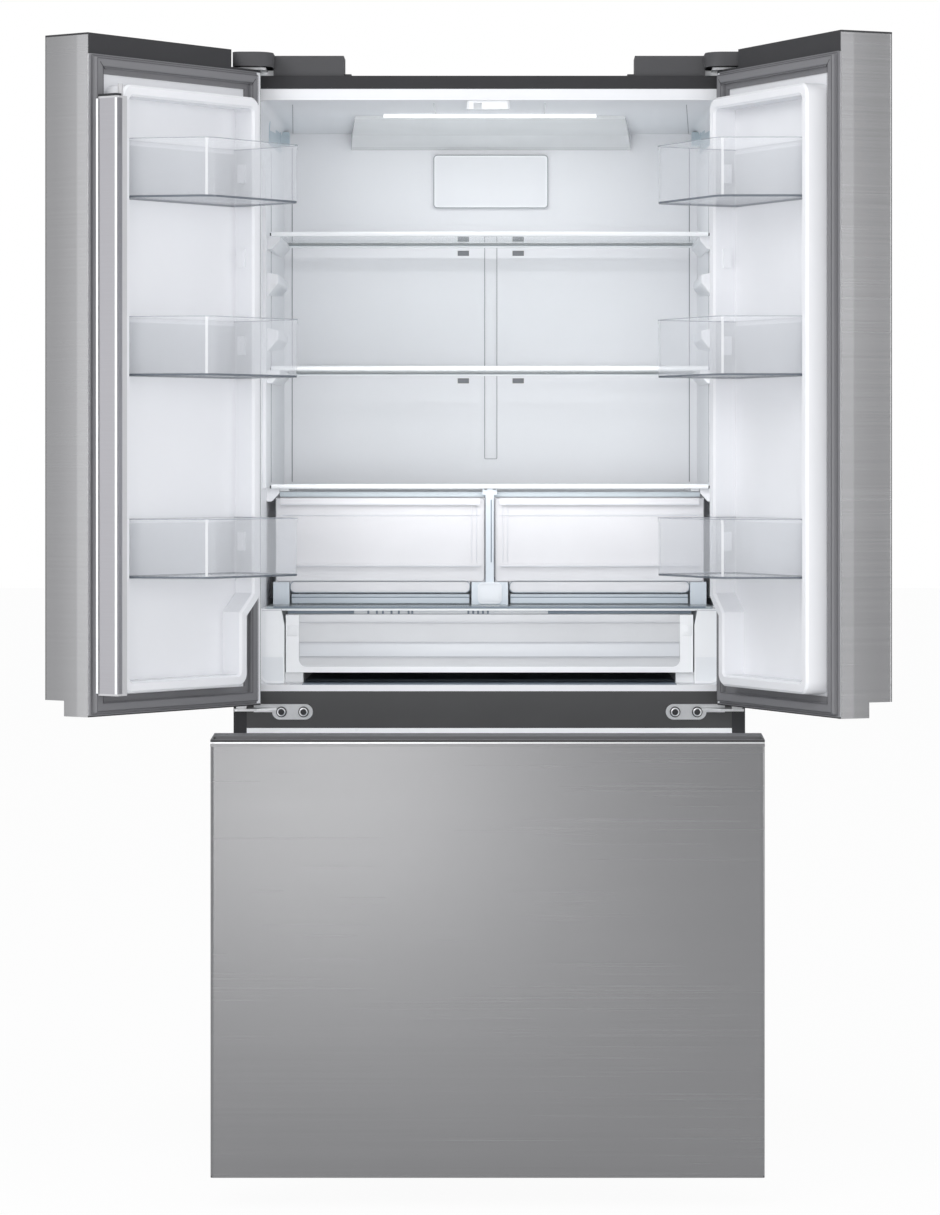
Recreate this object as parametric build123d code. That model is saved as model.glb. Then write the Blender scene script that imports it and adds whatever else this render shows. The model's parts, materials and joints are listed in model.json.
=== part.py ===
from build123d import *
import os

# French door refrigerator: two swinging doors above one pull-out freezer drawer.
# Millimetres. +X is to the right as seen from the front, +Y goes into the cabinet, +Z is up.
# Each piece is drawn closed, with Y = 0 in the plane of the cabinet's front flange and Z = 0 on the floor.
# The doors, the mullion and the drawer are then carried to where they stand open, and every piece is moved
# so that the origin is on the floor under the middle of the cabinet.

# ---- Cabinet ----
CASE_WIDTH = 832.0
CASE_DEPTH = 625.0
CASE_TOP = 1747.0
CASE_BASE = 40.0  # underside of the side walls above the floor
SHEET = 1.0  # steel sheet of the wrap, back and doors
WRAP_FLANGE = 21.5  # painted return round the front
BACK_INSET = 4.0  # back panel sunk between the side walls
BEAD = 2.5  # height of a pressed stiffening bead
BEAD_WIDTH = 20.0
BEAD_COUNT = 4
BEAD_MARGIN = 120.0
PAN = 2.0  # floor pan sheet
RAIL_BOTTOM = 686.0  # cross rail between the two compartments
RAIL_HEIGHT = 60.0
RAIL_DEPTH = 30.0
RAIL_SHEET = 1.5
MACHINE_DEPTH = 225.0  # compressor compartment, low at the back
MACHINE_TOP = 250.0

# ---- Liners ----
LINER_WALL = 2.5
LINER_FLANGE = 18.0
SILL = 10.0  # liner flange above and below the cross rail
FRIDGE_DEPTH = 520.0
FRIDGE_LEAN = 15.5  # how far each wall leans in over the depth
FRIDGE_CORNER = 14.0
FREEZER_DEPTH = 505.0
FREEZER_LOW_DEPTH = 375.0  # in front of the compressor compartment
FREEZER_STEP = 265.0
FREEZER_FLOOR = 72.0
FREEZER_CORNER = 12.0
LEDGE = 12.0  # moulded shelf rests on the side walls
LEDGE_HEIGHT = 14.0
RIB_Y = (96.0, 130.0)  # upright rib in front of the shelf rests
RIB_OVER_SHELF = 110.0
RIB_HEIGHT = 3.0
SEAT = 0.3  # clearance of a piece that lies in or beside another

# ---- Fresh food fittings, stacked up from the cavity floor ----
GLASS = 4.0
SHELF_FRONT = 152.0
SHELF_BACK_GAP = 36.0  # air space behind a shelf
SHELF_SIDE_GAP = 8.5
TRIM_HEIGHT = 7.4
TRIM_DEPTH = 14.0
TRIM_UNDER = 0.9  # front trim below the glass
RAIL_COVER_HEIGHT = 122.0
RAIL_COVER_WIDTH = 41.0
PANTRY_FRONT = 46.0
PANTRY_BACK_GAP = 34.0
PANTRY_HEIGHT = 95.0
PANTRY_LIFT = 18.0  # underside above the cavity floor
RUNNER = 30.0  # how far the pantry rails reach in under the drawer
SUPPORT_HEIGHT = 37.0  # crisper rails above the pantry glass
CRISPER_BACK_GAP = 43.0
CRISPER_CLEAR = 2.0  # from a crisper's rim to the shelf rests above it
CRISPER_FOOT = 18.0  # part that hangs between its rails
CRISPER_STEP = 24.0
CRISPER_BEND = 9.0
CRISPER_WALL = 2.2
POST_WIDTH = 14.0  # centre support between the crispers
CRISPER_COVER_RISE = 193.0
UPPER_SHELF_DROP = 212.5  # below the ceiling
MIDDLE_SHELF_DROP = 13.0  # below the middle of its neighbours

# ---- Ceiling and back wall fittings ----
LAMP_FRONT = 232.0
LAMP_DROP = 28.0
LAMP_FRONT_WIDTH = 454.0
LAMP_BACK_WIDTH = 488.0
STRIP_WIDTH = 356.0
STRIP_DEPTH = 10.0
DUCT_WIDTH = 200.0
DUCT_HEIGHT = 93.0
DUCT_DROP = 52.5  # below the ceiling
DUCT_THICKNESS = 7.0
GROOVE_WIDTH = 21.5
GROOVE_RISE = 49.0  # foot of the back wall's groove above the crisper cover
VENT_WIDTH = 20.0
VENT_HEIGHT = 9.0
VENT_OFFSET = 48.0

# ---- Doors ----
DOOR_THICKNESS = 91.5
DOOR_GAP = 12.0  # from the cabinet flange to the door's inner face
DOOR_SPLIT = 4.0  # between the two doors
DOOR_OVER_TOP = 33.0
DOOR_CLEAR_RAIL = 40.0  # door's lower edge above the foot of the cross rail
CORNER = 5.0  # bend of the stainless skin
GRIP_DEPTH = 42.0  # front part of a door that ends higher, for the fingers
GRIP_RISE = 24.0
GRIP_SLOT = 26.0
GRIP_ROOF = 5.0
CAP_WALL = 3.0
CAP_LIP = 32.0
HINGE_FROM_SIDE = 15.5
HINGE_FROM_FACE = 27.3
POCKET_WIDTH = 73.0  # cut-out in the door's top for the hinge arm
POCKET_REACH = 68.0
POCKET_DEPTH = 28.0
POCKET_CORNER = 10.0
LEFT_OPEN = 126.5  # degrees, as it stands
RIGHT_OPEN = 114.3

# ---- Door liners, gaskets and bins ----
GASKET_THICKNESS = 11.6
GASKET_BASE = 3.0
GASKET_WIDTH = 30.0
GASKET_BULB = 16.0
GASKET_EDGE = 5.0
DYKE_RISE = 40.0
DYKE_WIDTH = 18.0
DYKE_CORNER = 20.0
DYKE_SKIN = 2.5
DYKE_SIDE = 48.0  # from the door's hinge edge
DYKE_FREE = 36.0  # from the door's free edge
DYKE_CUT = 31.0  # lower hinge corner, clear of the pantry rails
DYKE_CUT_HEIGHT = 140.0
DYKE_CLEAR = 6.0  # to the cavity, above and below
BIN_REACH = 155.0
BIN_HEIGHT = 92.0
BIN_WALL = 2.2
BIN_TAPER = 50.0
BIN_RIM = 1.5  # how far the rim stands out
BIN_BEND = 16.0
BEND_CUT = 0.586  # a corner cut that lies along a round bend, as a share of the bend's radius
LOWER_BIN_RISE = 183.0  # above the cavity floor
UPPER_BIN_DROP = 180.5  # below the ceiling
MIDDLE_BIN_RISE = 19.0  # above the middle of its neighbours
BOSS = 4.0
BOSS_WIDTH = 14.0
BOSS_HEIGHT = 30.0
BOSS_RISE = 38.0  # above the bin's floor

# ---- Mullion bar on the left door ----
BAR_WIDTH = 43.0
BAR_THICKNESS = 26.0
BAR_ROUND = 7.75  # round about the pivot
BAR_FACE_GAP = 0.5
BAR_SHEET = 1.0
BAR_RETURN = 12.0
BAR_TOP_GAP = 27.0
BAR_BOTTOM_GAP = 4.0
LUG = 10.0
LUG_HEIGHT = 20.0
PIN = 2.5
RUN = 0.05  # radial running clearance of a pin in its bore
CAM_PIN = 4.0
CAM_PIN_HEIGHT = 19.0

# ---- Hinges ----
HINGE_PIN = 5.0
HINGE_PLATE = 4.0
UPPER_ARM_WIDTH = 50.0
UPPER_PLATE_LENGTH = 120.0
HINGE_COVER_HEIGHT = 33.0
PIN_BOSS = 11.0
ARM_WIDTH = 65.0
COVER_LENGTH = 177.0
COVER_DEPTH = 78.0
COVER_WALL = 2.0
LOWER_PLATE = 3.0
LOWER_PLATE_HEIGHT = 25.0
LOWER_PLATE_LENGTH = 66.0
LOWER_PLATE_END = 129.0  # inner end, from the door's hinge edge
SCREW_SPACING = 36.0
SCREW_HEAD = 7.2
SCREW_HEAD_HEIGHT = 4.0
SCREW_SIDES = 6

# ---- Freezer drawer ----
DRAWER_CLEAR_RAIL = 16.0  # drawer's top edge above the foot of the cross rail
DRAWER_CLEAR_BASE = 5.0
FIELD_FACE = 8.0  # face of the inner panel's raised field
DRAWER_OPEN = 432.0
SLIDE_FRONT = 20.0
SLIDE_BACK_GAP = 75.0  # to the freezer's back wall
SLIDE_HEIGHT = 46.0
SLIDE_DEPTH = 13.0
SLIDE_LEVEL = 440.0
SLIDE_SHEET = 1.5
SLIDE_GAP = 0.5
BASKET_RIM = 20.0
BASKET_FLOOR = 100.0
BASKET_FRONT = 14.0
BASKET_BACK_GAP = 26.0
BASKET_WALL = 2.5
BASKET_LEAN = 18.0  # how far each side leans in
TRAY_TOP = 618.0
TRAY_HEIGHT = 105.0
TRAY_FRONT = 36.0
TRAY_BACK_GAP = 84.0

# ---- Machinery ----
COMPRESSOR_RADIUS = 62.0
COMPRESSOR_SIDES = 16
COMPRESSOR_FROM_SIDE = 190.0
COMPRESSOR_HEIGHT = 128.0
FAN_RADIUS = 62.0
FAN_BLADES = 5
FAN_HUB = 18.0
FAN_OPENING_SIDES = 20
FAN_FRAME_HEIGHT = 160.0
FAN_FRAME_GAP = 28.0  # to the bulkhead in front and to the rear cover
FIN_COUNT = 12
CONDENSER_HEIGHT = 150.0
EVAPORATOR_WIDTH = 480.0
EVAPORATOR_HEIGHT = 190.0
COVER_GAP = 58.0  # back cover to the freezer's back wall
FAN_SHAFT = 3.0
SLOT_ROWS = 4
SLOT_SPAN = (150.0, 290.0)
SLOT_PITCH = 32.0
SLOT_HEIGHT = 9.0
LOUVRE_COLUMNS = 6
LOUVRE_ROWS = 3
LOUVRE_LENGTH = 90.0
FOOT_FROM_SIDE = 70.0
LEG_Y = 45.0
ROLLER_FROM_BACK = 55.0
ROLLER_PIN = 4.0
ROLLER_RADIUS = 18.0
ROLLER_SIDES = 24
ROLLER_WIDTH = 22.0
LEG_THREAD = 6.0
LEG_PAD = 19.0

# Values that follow from the ones above
HALF = CASE_WIDTH / 2
OPENING = HALF - WRAP_FLANGE  # inside the painted flange
RAIL_TOP = RAIL_BOTTOM + RAIL_HEIGHT
BACK = CASE_DEPTH - BACK_INSET
MACHINE_FRONT = CASE_DEPTH - MACHINE_DEPTH
ROOM_HALF = OPENING - LINER_FLANGE
FLOOR = RAIL_TOP + SILL
SHELF_BACK = FRIDGE_DEPTH - SHELF_BACK_GAP
PANTRY_BACK = FRIDGE_DEPTH - PANTRY_BACK_GAP
CRISPER_BACK = FRIDGE_DEPTH - CRISPER_BACK_GAP
CEILING = CASE_TOP - WRAP_FLANGE - LINER_FLANGE
FREEZER_CEILING = RAIL_BOTTOM - SILL
RAIL_COVER_TOP = FLOOR + RAIL_COVER_HEIGHT
PANTRY_GLASS_TOP = RAIL_COVER_TOP + GLASS
CRISPER_RAIL = PANTRY_GLASS_TOP + SUPPORT_HEIGHT
CRISPER_COVER = PANTRY_GLASS_TOP + CRISPER_COVER_RISE
UPPER_SHELF = CEILING - UPPER_SHELF_DROP
MIDDLE_SHELF = (CRISPER_COVER + UPPER_SHELF) / 2 - MIDDLE_SHELF_DROP
DUCT_TOP = CEILING - DUCT_DROP
GROOVE_BOTTOM = CRISPER_COVER + GROOVE_RISE
SLIDE_BACK = FREEZER_DEPTH - SLIDE_BACK_GAP
BASKET_BACK = FREEZER_LOW_DEPTH - BASKET_BACK_GAP
TRAY_BACK = FREEZER_DEPTH - TRAY_BACK_GAP
DOOR_TOP = CASE_TOP + DOOR_OVER_TOP
DOOR_BOTTOM = RAIL_BOTTOM + DOOR_CLEAR_RAIL
DOOR_INNER = -DOOR_GAP
DOOR_FRONT = DOOR_INNER - DOOR_THICKNESS
LOWER_PLATE_LEVEL = DOOR_BOTTOM - 26.0
FOOT_X = HALF - FOOT_FROM_SIDE
ROLLER_Y = BACK - ROLLER_FROM_BACK
DOOR_HINGE_EDGE = -HALF
DOOR_FREE_EDGE = -DOOR_SPLIT / 2
HINGE_X = DOOR_HINGE_EDGE + HINGE_FROM_SIDE
HINGE_Y = DOOR_INNER - HINGE_FROM_FACE
POCKET_FLOOR = DOOR_TOP - POCKET_DEPTH
DYKE_TOP = CEILING - DYKE_CLEAR
DYKE_BOTTOM = FLOOR + DYKE_CLEAR
DYKE_X = (DOOR_HINGE_EDGE + DYKE_SIDE, DOOR_FREE_EDGE - DYKE_FREE)
RECESS_X = (DYKE_X[0] + DYKE_WIDTH, DYKE_X[1] - DYKE_WIDTH)
RECESS_FLOOR = DOOR_INNER + 2.0
BOSS_Y = (RECESS_FLOOR + 8.0, RECESS_FLOOR + 8.0 + BOSS_WIDTH)
BAR_X = (-BAR_WIDTH / 2 - 1.0, BAR_WIDTH / 2 - 1.0)
BAR_PIVOT = (BAR_X[0] + BAR_ROUND, BAR_FACE_GAP + BAR_ROUND)
BAR_Z = (FLOOR + BAR_BOTTOM_GAP, CEILING - BAR_TOP_GAP)
LUG_LEVELS = (BAR_Z[0] + 40.0, BAR_Z[1] - 60.0)
DRAWER_TOP = RAIL_BOTTOM + DRAWER_CLEAR_RAIL
DRAWER_BOTTOM = CASE_BASE + DRAWER_CLEAR_BASE


# ---- Drawing helpers ----
def middle(span):
    """The middle of a (low, high) pair."""
    return (span[0] + span[1]) / 2


def block(x, y, z):
    """A box between three (low, high) pairs."""
    return Pos(middle(x), middle(y), middle(z)) * Box(x[1] - x[0], y[1] - y[0], z[1] - z[0])


def rounded_block(x, y, z, radius, axis=Axis.Z):
    """A block with its four edges along an axis rounded, or square where the radius is zero."""
    body = block(x, y, z)
    return fillet(body.edges().filter_by(axis), radius) if radius else body


def pane(x, z, radius=0.0):
    """A rectangle seen from the front, with round corners if a radius is given."""
    width, height = x[1] - x[0], z[1] - z[0]
    shape = RectangleRounded(width, height, radius) if radius else Rectangle(width, height)
    return Pos(middle(x), middle(z)) * shape


def front_plane(y):
    """A drawing plane that faces the viewer, with its X along +X and its Y along +Z."""
    return Plane(origin=(0, y, 0), x_dir=(1, 0, 0), z_dir=(0, -1, 0))


def slab(outline, y):
    """An outline seen from the front, made solid between two depths."""
    return extrude(front_plane(y[1]) * outline, amount=y[1] - y[0])


def prism(points, z):
    """A polygon seen from above, made solid between two heights."""
    return extrude(Pos(0, 0, z[0]) * make_face(Polyline(*points, close=True)), amount=z[1] - z[0])


def profile_along_x(points, x):
    """A polygon of (y, z) points, made solid between two X places."""
    plane = Plane(origin=(x[0], 0, 0), x_dir=(0, 1, 0), z_dir=(1, 0, 0))
    return extrude(plane * make_face(Polyline(*points, close=True)), amount=x[1] - x[0])


def rod(radius, start, axis, length, sides=0):
    """A bar from a point along X, Y or Z: round, or with flats if their number is given."""
    turn = {"X": Rot(0, 90, 0), "Y": Rot(-90, 0, 0), "Z": Rot(0, 0, 0)}[axis]
    outline = RegularPolygon(radius, sides) if sides else Circle(radius)
    return Pos(*start) * turn * extrude(outline, amount=length)


def other_side(shape):
    """The same piece on the other side of the cabinet's middle."""
    return mirror(shape, about=Plane.YZ)


def both_sides(shape):
    """A piece and its mirror image as one group."""
    return Compound([*shape.solids(), *other_side(shape).solids()])


def turned(shape, place, angle):
    """A piece turned about an upright line through (x, y)."""
    x, y = place
    return Pos(x, y, 0) * Rot(0, 0, angle) * Pos(-x, -y, 0) * shape


def profile_along_y(points, y, radius=0.0):
    """A polygon of (x, z) points made solid between two depths, with round corners if a radius is given."""
    face = make_face(Polyline(*points, close=True))
    return slab(fillet(face.vertices(), radius) if radius else face, y)


# ---- Cabinet ----
def cabinet_wrap():
    """Painted steel bent over both sides and the top, with a return round the front."""
    body = block((-HALF, HALF), (0, CASE_DEPTH), (CASE_BASE, CASE_TOP))
    inside = (-HALF + SHEET, HALF - SHEET)
    body -= block(inside, (SHEET, CASE_DEPTH), (CASE_BASE, CASE_TOP - SHEET))
    return body - block((-OPENING, OPENING), (0, SHEET), (CASE_BASE, CASE_TOP - WRAP_FLANGE))


def back_panel():
    """Steel back with pressed beads, bent to roof and bulkhead of the compressor compartment."""
    width = (-HALF + SHEET, HALF - SHEET)
    body = block(width, (BACK - SHEET, BACK), (MACHINE_TOP, CASE_TOP - SHEET))
    body += block(width, (MACHINE_FRONT, BACK), (MACHINE_TOP, MACHINE_TOP + SHEET))
    body += block(width, (MACHINE_FRONT, MACHINE_FRONT + SHEET), (CASE_BASE, MACHINE_TOP))
    lowest, highest = MACHINE_TOP + BEAD_MARGIN, CASE_TOP - BEAD_MARGIN
    for i in range(BEAD_COUNT):
        level = lowest + (highest - lowest) * i / (BEAD_COUNT - 1)
        wide, narrow, crest = BEAD_WIDTH / 2, BEAD_WIDTH / 2 - BEAD, BACK + BEAD
        lower = [(BACK, level - wide), (crest, level - narrow)]
        upper = [(crest, level + narrow), (BACK, level + wide)]
        body += profile_along_x(lower + upper, (-HALF + 60, HALF - 60))
    return body


def fridge_room(grow=0.0):
    """The fresh food space, leaning in towards the back; grown by a wall, it has plain corners."""
    depth = FRIDGE_DEPTH + grow
    lean = FRIDGE_LEAN * depth / FRIDGE_DEPTH
    half = ROOM_HALF + grow
    corner = FRIDGE_CORNER if grow <= 0 else 0.0
    near = pane((-half, half), (FLOOR - grow, CEILING + grow), corner)
    far = pane((-half + lean, half - lean), (FLOOR - grow, CEILING + grow - lean), corner)
    return loft([front_plane(0) * near, front_plane(depth) * far], ruled=True)


def wall_at(depth):
    """Half the width of the fresh food space at a depth."""
    return ROOM_HALF - FRIDGE_LEAN * depth / FRIDGE_DEPTH


def ceiling_at(depth):
    """Height of the fresh food ceiling at a depth."""
    return CEILING - FRIDGE_LEAN * depth / FRIDGE_DEPTH


def freezer_room(grow=0.0):
    """The freezer space: deep above, shallower below in front of the compressor compartment."""
    half = ROOM_HALF + grow
    corner = FREEZER_CORNER if grow <= 0 else 0.0
    high = (FREEZER_STEP - grow, FREEZER_CEILING + grow)
    low = (FREEZER_FLOOR - grow, FREEZER_CEILING + grow)
    upper = rounded_block((-half, half), (0, FREEZER_DEPTH + grow), high, corner, Axis.Y)
    return upper + rounded_block((-half, half), (0, FREEZER_LOW_DEPTH + grow), low, corner, Axis.Y)


def flange(z):
    """A liner's flat front edge, seen from the front."""
    return slab(pane((-OPENING, OPENING), z), (0, LINER_WALL))


def ledge(level, y):
    """A moulded rest with a sloping underside along each side wall, its top at a level."""
    nose = wall_at(y[1]) - LEDGE
    low = level - LEDGE_HEIGHT
    outside = ROOM_HALF + 20
    under = [(-outside, low - 8), (-wall_at(y[1]) - 1, low - 8), (-nose - 1, low + 5), (-nose, low + 7)]
    rest = profile_along_y([*under, (-nose, level), (-outside, level)], y)
    return rest + other_side(rest)


def wall_rib():
    """A tall shallow rib down each side wall, in front of the shelf rests."""
    nose = RIB_HEIGHT - wall_at(SHELF_FRONT)
    rib = block((-ROOM_HALF - 20, nose), RIB_Y, (CRISPER_COVER, UPPER_SHELF + RIB_OVER_SHELF))
    return rib + other_side(rib)


def fridge_liner():
    """Moulded fresh food liner with shelf rests, air slots and a groove down the back."""
    room = fridge_room()
    for level in (CRISPER_COVER, MIDDLE_SHELF, UPPER_SHELF):
        room -= ledge(level, (SHELF_FRONT + 12, SHELF_BACK))
    room -= wall_rib()
    liner = fridge_room(LINER_WALL) + flange((RAIL_TOP, CASE_TOP - WRAP_FLANGE)) - room
    groove = pane((-GROOVE_WIDTH / 2, GROOVE_WIDTH / 2), (GROOVE_BOTTOM, UPPER_SHELF + 18))
    liner -= slab(groove, (FRIDGE_DEPTH - 1, FRIDGE_DEPTH + 1.5))
    for level in (UPPER_SHELF + 13.5, UPPER_SHELF - 11.5, MIDDLE_SHELF - 11.5):
        for x in (-VENT_OFFSET, VENT_OFFSET):
            vent = Pos(x, level) * Rectangle(VENT_WIDTH, VENT_HEIGHT)
            liner -= slab(vent, (FRIDGE_DEPTH - 1, FRIDGE_DEPTH + LINER_WALL + 1))
    return liner


def freezer_liner():
    """Moulded freezer liner with rests for the upper tray."""
    room = freezer_room()
    top = TRAY_TOP - 6
    depth = (TRAY_FRONT - 6, TRAY_BACK + 14)
    rest = block((-ROOM_HALF - 20, -ROOM_HALF + 18), depth, (top - LEDGE_HEIGHT, top))
    room -= rest + other_side(rest)
    return freezer_room(LINER_WALL) + flange((CASE_BASE + WRAP_FLANGE, RAIL_BOTTOM)) - room


def mid_rail():
    """Painted steel channel across the front between the compartments."""
    width = (-OPENING, OPENING)
    body = block(width, (0, RAIL_DEPTH), (RAIL_BOTTOM, RAIL_TOP))
    inner = (RAIL_BOTTOM + RAIL_SHEET, RAIL_TOP - RAIL_SHEET)
    return body - block(width, (RAIL_SHEET, RAIL_DEPTH), inner)


def base_frame():
    """Steel floor pan with a front cross member, leg nuts, roller brackets, roller pins and a fan frame."""
    body = block((-HALF + SHEET, HALF - SHEET), (SHEET, BACK), (CASE_BASE - PAN, CASE_BASE))
    body += block((-OPENING, OPENING), (0, PAN), (CASE_BASE - PAN, CASE_BASE + WRAP_FLANGE))
    for x in (-FOOT_X, FOOT_X):
        body += block((x - 12, x + 12), (LEG_Y - 12, LEG_Y + 12), (CASE_BASE - 12, CASE_BASE - PAN))
        for way in (-1, 1):
            ear = x + way * (ROLLER_WIDTH / 2 + 2.5)
            body += block((ear - 1.5, ear + 1.5), (ROLLER_Y - 20, ROLLER_Y + 20), (10, CASE_BASE - PAN))
        body += rod(ROLLER_PIN, (x - ROLLER_WIDTH / 2 - 3, ROLLER_Y, ROLLER_RADIUS), "X", ROLLER_WIDTH + 6)
    return body + fan_frame()


def fan_frame():
    """Upright frame on the floor pan with a round opening, and a bar across it that holds the motor."""
    x, y, z = fan_place("condenser")
    depth = (MACHINE_FRONT + FAN_FRAME_GAP, BACK - FAN_FRAME_GAP)
    frame = block((x - 12, x + 12), depth, (CASE_BASE, CASE_BASE + FAN_FRAME_HEIGHT))
    frame -= rod(FAN_RADIUS + 4, (x - 20, y, z), "X", 40, FAN_OPENING_SIDES)
    frame += block((x - 12, x - 8), (y - 6, y + 6), (z - FAN_RADIUS - 6, z + FAN_RADIUS + 6))
    frame += block((x - 12, x - 4), (y - 14, y + 14), (z - 14, z + 14))
    return frame + rod(FAN_SHAFT, (x - 5, y, z), "X", 16)


def fan_place(name):
    """Centre of a fan: the condenser's turns about X, the evaporator's about Y."""
    if name == "condenser":
        return (30.0, (MACHINE_FRONT + BACK) / 2, CASE_BASE + 84)
    return (0.0, FREEZER_DEPTH - 40, FREEZER_CEILING - 85)


def cabinet_insulation():
    """Foam that fills the walls between the wrap and both liners."""
    body = block((-HALF + SHEET, HALF - SHEET), (SHEET, BACK - SHEET), (CASE_BASE, CASE_TOP - SHEET))
    body -= fridge_room(LINER_WALL) + freezer_room(LINER_WALL)
    body -= block((-OPENING, OPENING), (0, LINER_WALL), (CASE_BASE, CASE_TOP - WRAP_FLANGE))
    body -= block((-OPENING, OPENING), (0, RAIL_DEPTH), (RAIL_BOTTOM, RAIL_TOP))
    return body - block((-HALF, HALF), (MACHINE_FRONT, BACK), (CASE_BASE, MACHINE_TOP + SHEET))


def machine_cover():
    """Plastic rear cover of the compressor compartment with rows of louvre slots."""
    body = slab(pane((-HALF + 4, HALF - 4), (CASE_BASE - PAN, MACHINE_TOP + 12)), (BACK, BACK + 2))
    for i in range(LOUVRE_COLUMNS):
        for j in range(LOUVRE_ROWS):
            x = (i - (LOUVRE_COLUMNS - 1) / 2) * LOUVRE_LENGTH * 1.2
            louvre = Pos(x, CASE_BASE + 60 + j * 48) * Rectangle(LOUVRE_LENGTH, 10)
            body -= slab(louvre, (BACK, BACK + 2))
    return body


# ---- Machinery ----
def compressor():
    """Hermetic compressor: can with a tapered top, mounting plate on four feet, and terminal box."""
    x, y = -HALF + COMPRESSOR_FROM_SIDE, middle((MACHINE_FRONT, BACK))
    low = CASE_BASE + 16
    outline = RegularPolygon(COMPRESSOR_RADIUS, COMPRESSOR_SIDES)
    can = Pos(x, y, low) * extrude(outline, amount=COMPRESSOR_HEIGHT - 28)
    can += Pos(x, y, low + COMPRESSOR_HEIGHT - 28) * extrude(outline, amount=28, taper=42)
    can += block((x - 92, x + 92), (y - 58, y + 58), (low - 4, low + 2))
    for dx in (-78, 78):
        for dy in (-44, 44):
            can += block((x + dx - 9, x + dx + 9), (y + dy - 9, y + dy + 9), (CASE_BASE, low - 4))
    side = x + COMPRESSOR_RADIUS
    return can + block((side - 14, side + 22), (y - 24, y + 24), (low + 30, low + 80))


def finned_coil(x, y, z, turns):
    """A coil cut into thin fins, with square end plates and the ends of its tubes."""
    pitch = (x[1] - x[0]) / FIN_COUNT
    body = block(x, y, z)
    for i in range(FIN_COUNT):
        place = x[0] + pitch * i
        body -= block((place + 1.2, place + pitch), (y[0] - 1, y[1] - 6), (z[0] - 1, z[1] + 1))
    body += block((x[0] - 3, x[0]), (y[0], y[1]), z) + block((x[1] - 1, x[1] + 2), y, z)
    for i in range(turns):
        height = z[0] + (z[1] - z[0]) * (i + 0.5) / turns
        bend = block((x[1] + 1, x[1] + 10), (y[0] + 8, y[1] - 8), (height - 4, height + 4))
        body += bend
    return body


def condenser_coil():
    """Condenser beside the compressor, standing on the floor pan."""
    x = (fan_place("condenser")[0] + 60, HALF - 60)
    depth = (MACHINE_FRONT + 40, BACK - 40)
    return finned_coil(x, depth, (CASE_BASE, CASE_BASE + CONDENSER_HEIGHT), 4)


def evaporator_coil():
    """Evaporator behind the freezer's back cover, standing on the liner's step."""
    depth = (FREEZER_DEPTH - 50, FREEZER_DEPTH - 6)
    half = EVAPORATOR_WIDTH / 2
    return finned_coil((-half, half), depth, (FREEZER_STEP + SEAT, FREEZER_STEP + EVAPORATOR_HEIGHT), 5)


def freezer_back_cover():
    """Moulded cover before the evaporator with a fan opening, air slots and the fan's motor."""
    near = FREEZER_DEPTH - COVER_GAP
    y = (near, near + 3)
    body = block((-ROOM_HALF + 1, ROOM_HALF - 1), y, (FREEZER_STEP + 1, FREEZER_CEILING - 1))
    body = chamfer(body.edges().filter_by(Axis.Y), FREEZER_CORNER)
    for x in (-ROOM_HALF + 1, ROOM_HALF - 4):
        body += block((x, x + 3), (y[0], FREEZER_DEPTH - SEAT), (FREEZER_STEP + 14, FREEZER_CEILING - 14))
    x, depth, height = fan_place("evaporator")
    body -= rod(FAN_RADIUS - 6, (x, y[0] - 5, height), "Y", 20, FAN_OPENING_SIDES)
    for i in range(SLOT_ROWS):
        level = FREEZER_STEP + 30 + i * SLOT_PITCH
        slot = block(SLOT_SPAN, y, (level, level + SLOT_HEIGHT))
        body -= slot + other_side(slot)
    bracket = FREEZER_DEPTH - 8
    for way in (-1, 1):
        span = tuple(sorted((way * (FAN_RADIUS + 2), way * (FAN_RADIUS + 6))))
        body += block(span, (y[0], bracket), (height - 10, height + 10))
    body += block((-FAN_RADIUS - 6, FAN_RADIUS + 6), (bracket - 4, bracket), (height - 10, height + 10))
    body += block((x - 15, x + 15), (bracket - 16, bracket), (height - 15, height + 15))
    return body + rod(FAN_SHAFT, (x, depth - 5, height), "Y", bracket - depth)


def fan(place, axis):
    """A hub with tilted blades round it, bored for its motor's shaft from the far side."""
    hub = Pos(0, 0, -9) * extrude(RegularPolygon(FAN_HUB, 2 * FAN_BLADES), amount=18)
    hub -= rod(FAN_SHAFT + RUN, (0, 0, -10), "Z", 16)
    root, tip = FAN_HUB - 4, FAN_RADIUS - 1
    blade = Pos(0, middle((root, tip)), 0) * Rot(0, 32, 0) * Box(34, tip - root, 1.6)
    for i in range(FAN_BLADES):
        hub += Rot(0, 0, 360 / FAN_BLADES * i) * blade
    turn = {"X": Rot(0, 90, 0), "Y": Rot(-90, 0, 0)}[axis]
    return Pos(*place) * turn * hub


def condenser_fan():
    """Fan between the compressor and the condenser."""
    x, y, z = fan_place("condenser")
    return fan((x + 8, y, z), "X")


def evaporator_fan():
    """Fan that blows over the evaporator into the freezer."""
    x, y, z = fan_place("evaporator")
    return other_way(fan((x, y, z), "Y"), y)


def other_way(shape, y):
    """A piece turned front to back in place."""
    return mirror(shape, about=Plane(origin=(0, y, 0), x_dir=(1, 0, 0), z_dir=(0, 1, 0)))


def levelling_legs():
    """Two screw-in front legs with hexagonal feet."""
    legs = []
    for x in (-FOOT_X, FOOT_X):
        leg = Pos(x, LEG_Y, 6) * extrude(RegularPolygon(LEG_THREAD, 12), amount=CASE_BASE - 18)
        legs.append(leg + Pos(x, LEG_Y, 0) * extrude(RegularPolygon(LEG_PAD, 6), amount=9))
    return Compound([solid for leg in legs for solid in leg.solids()])


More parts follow.
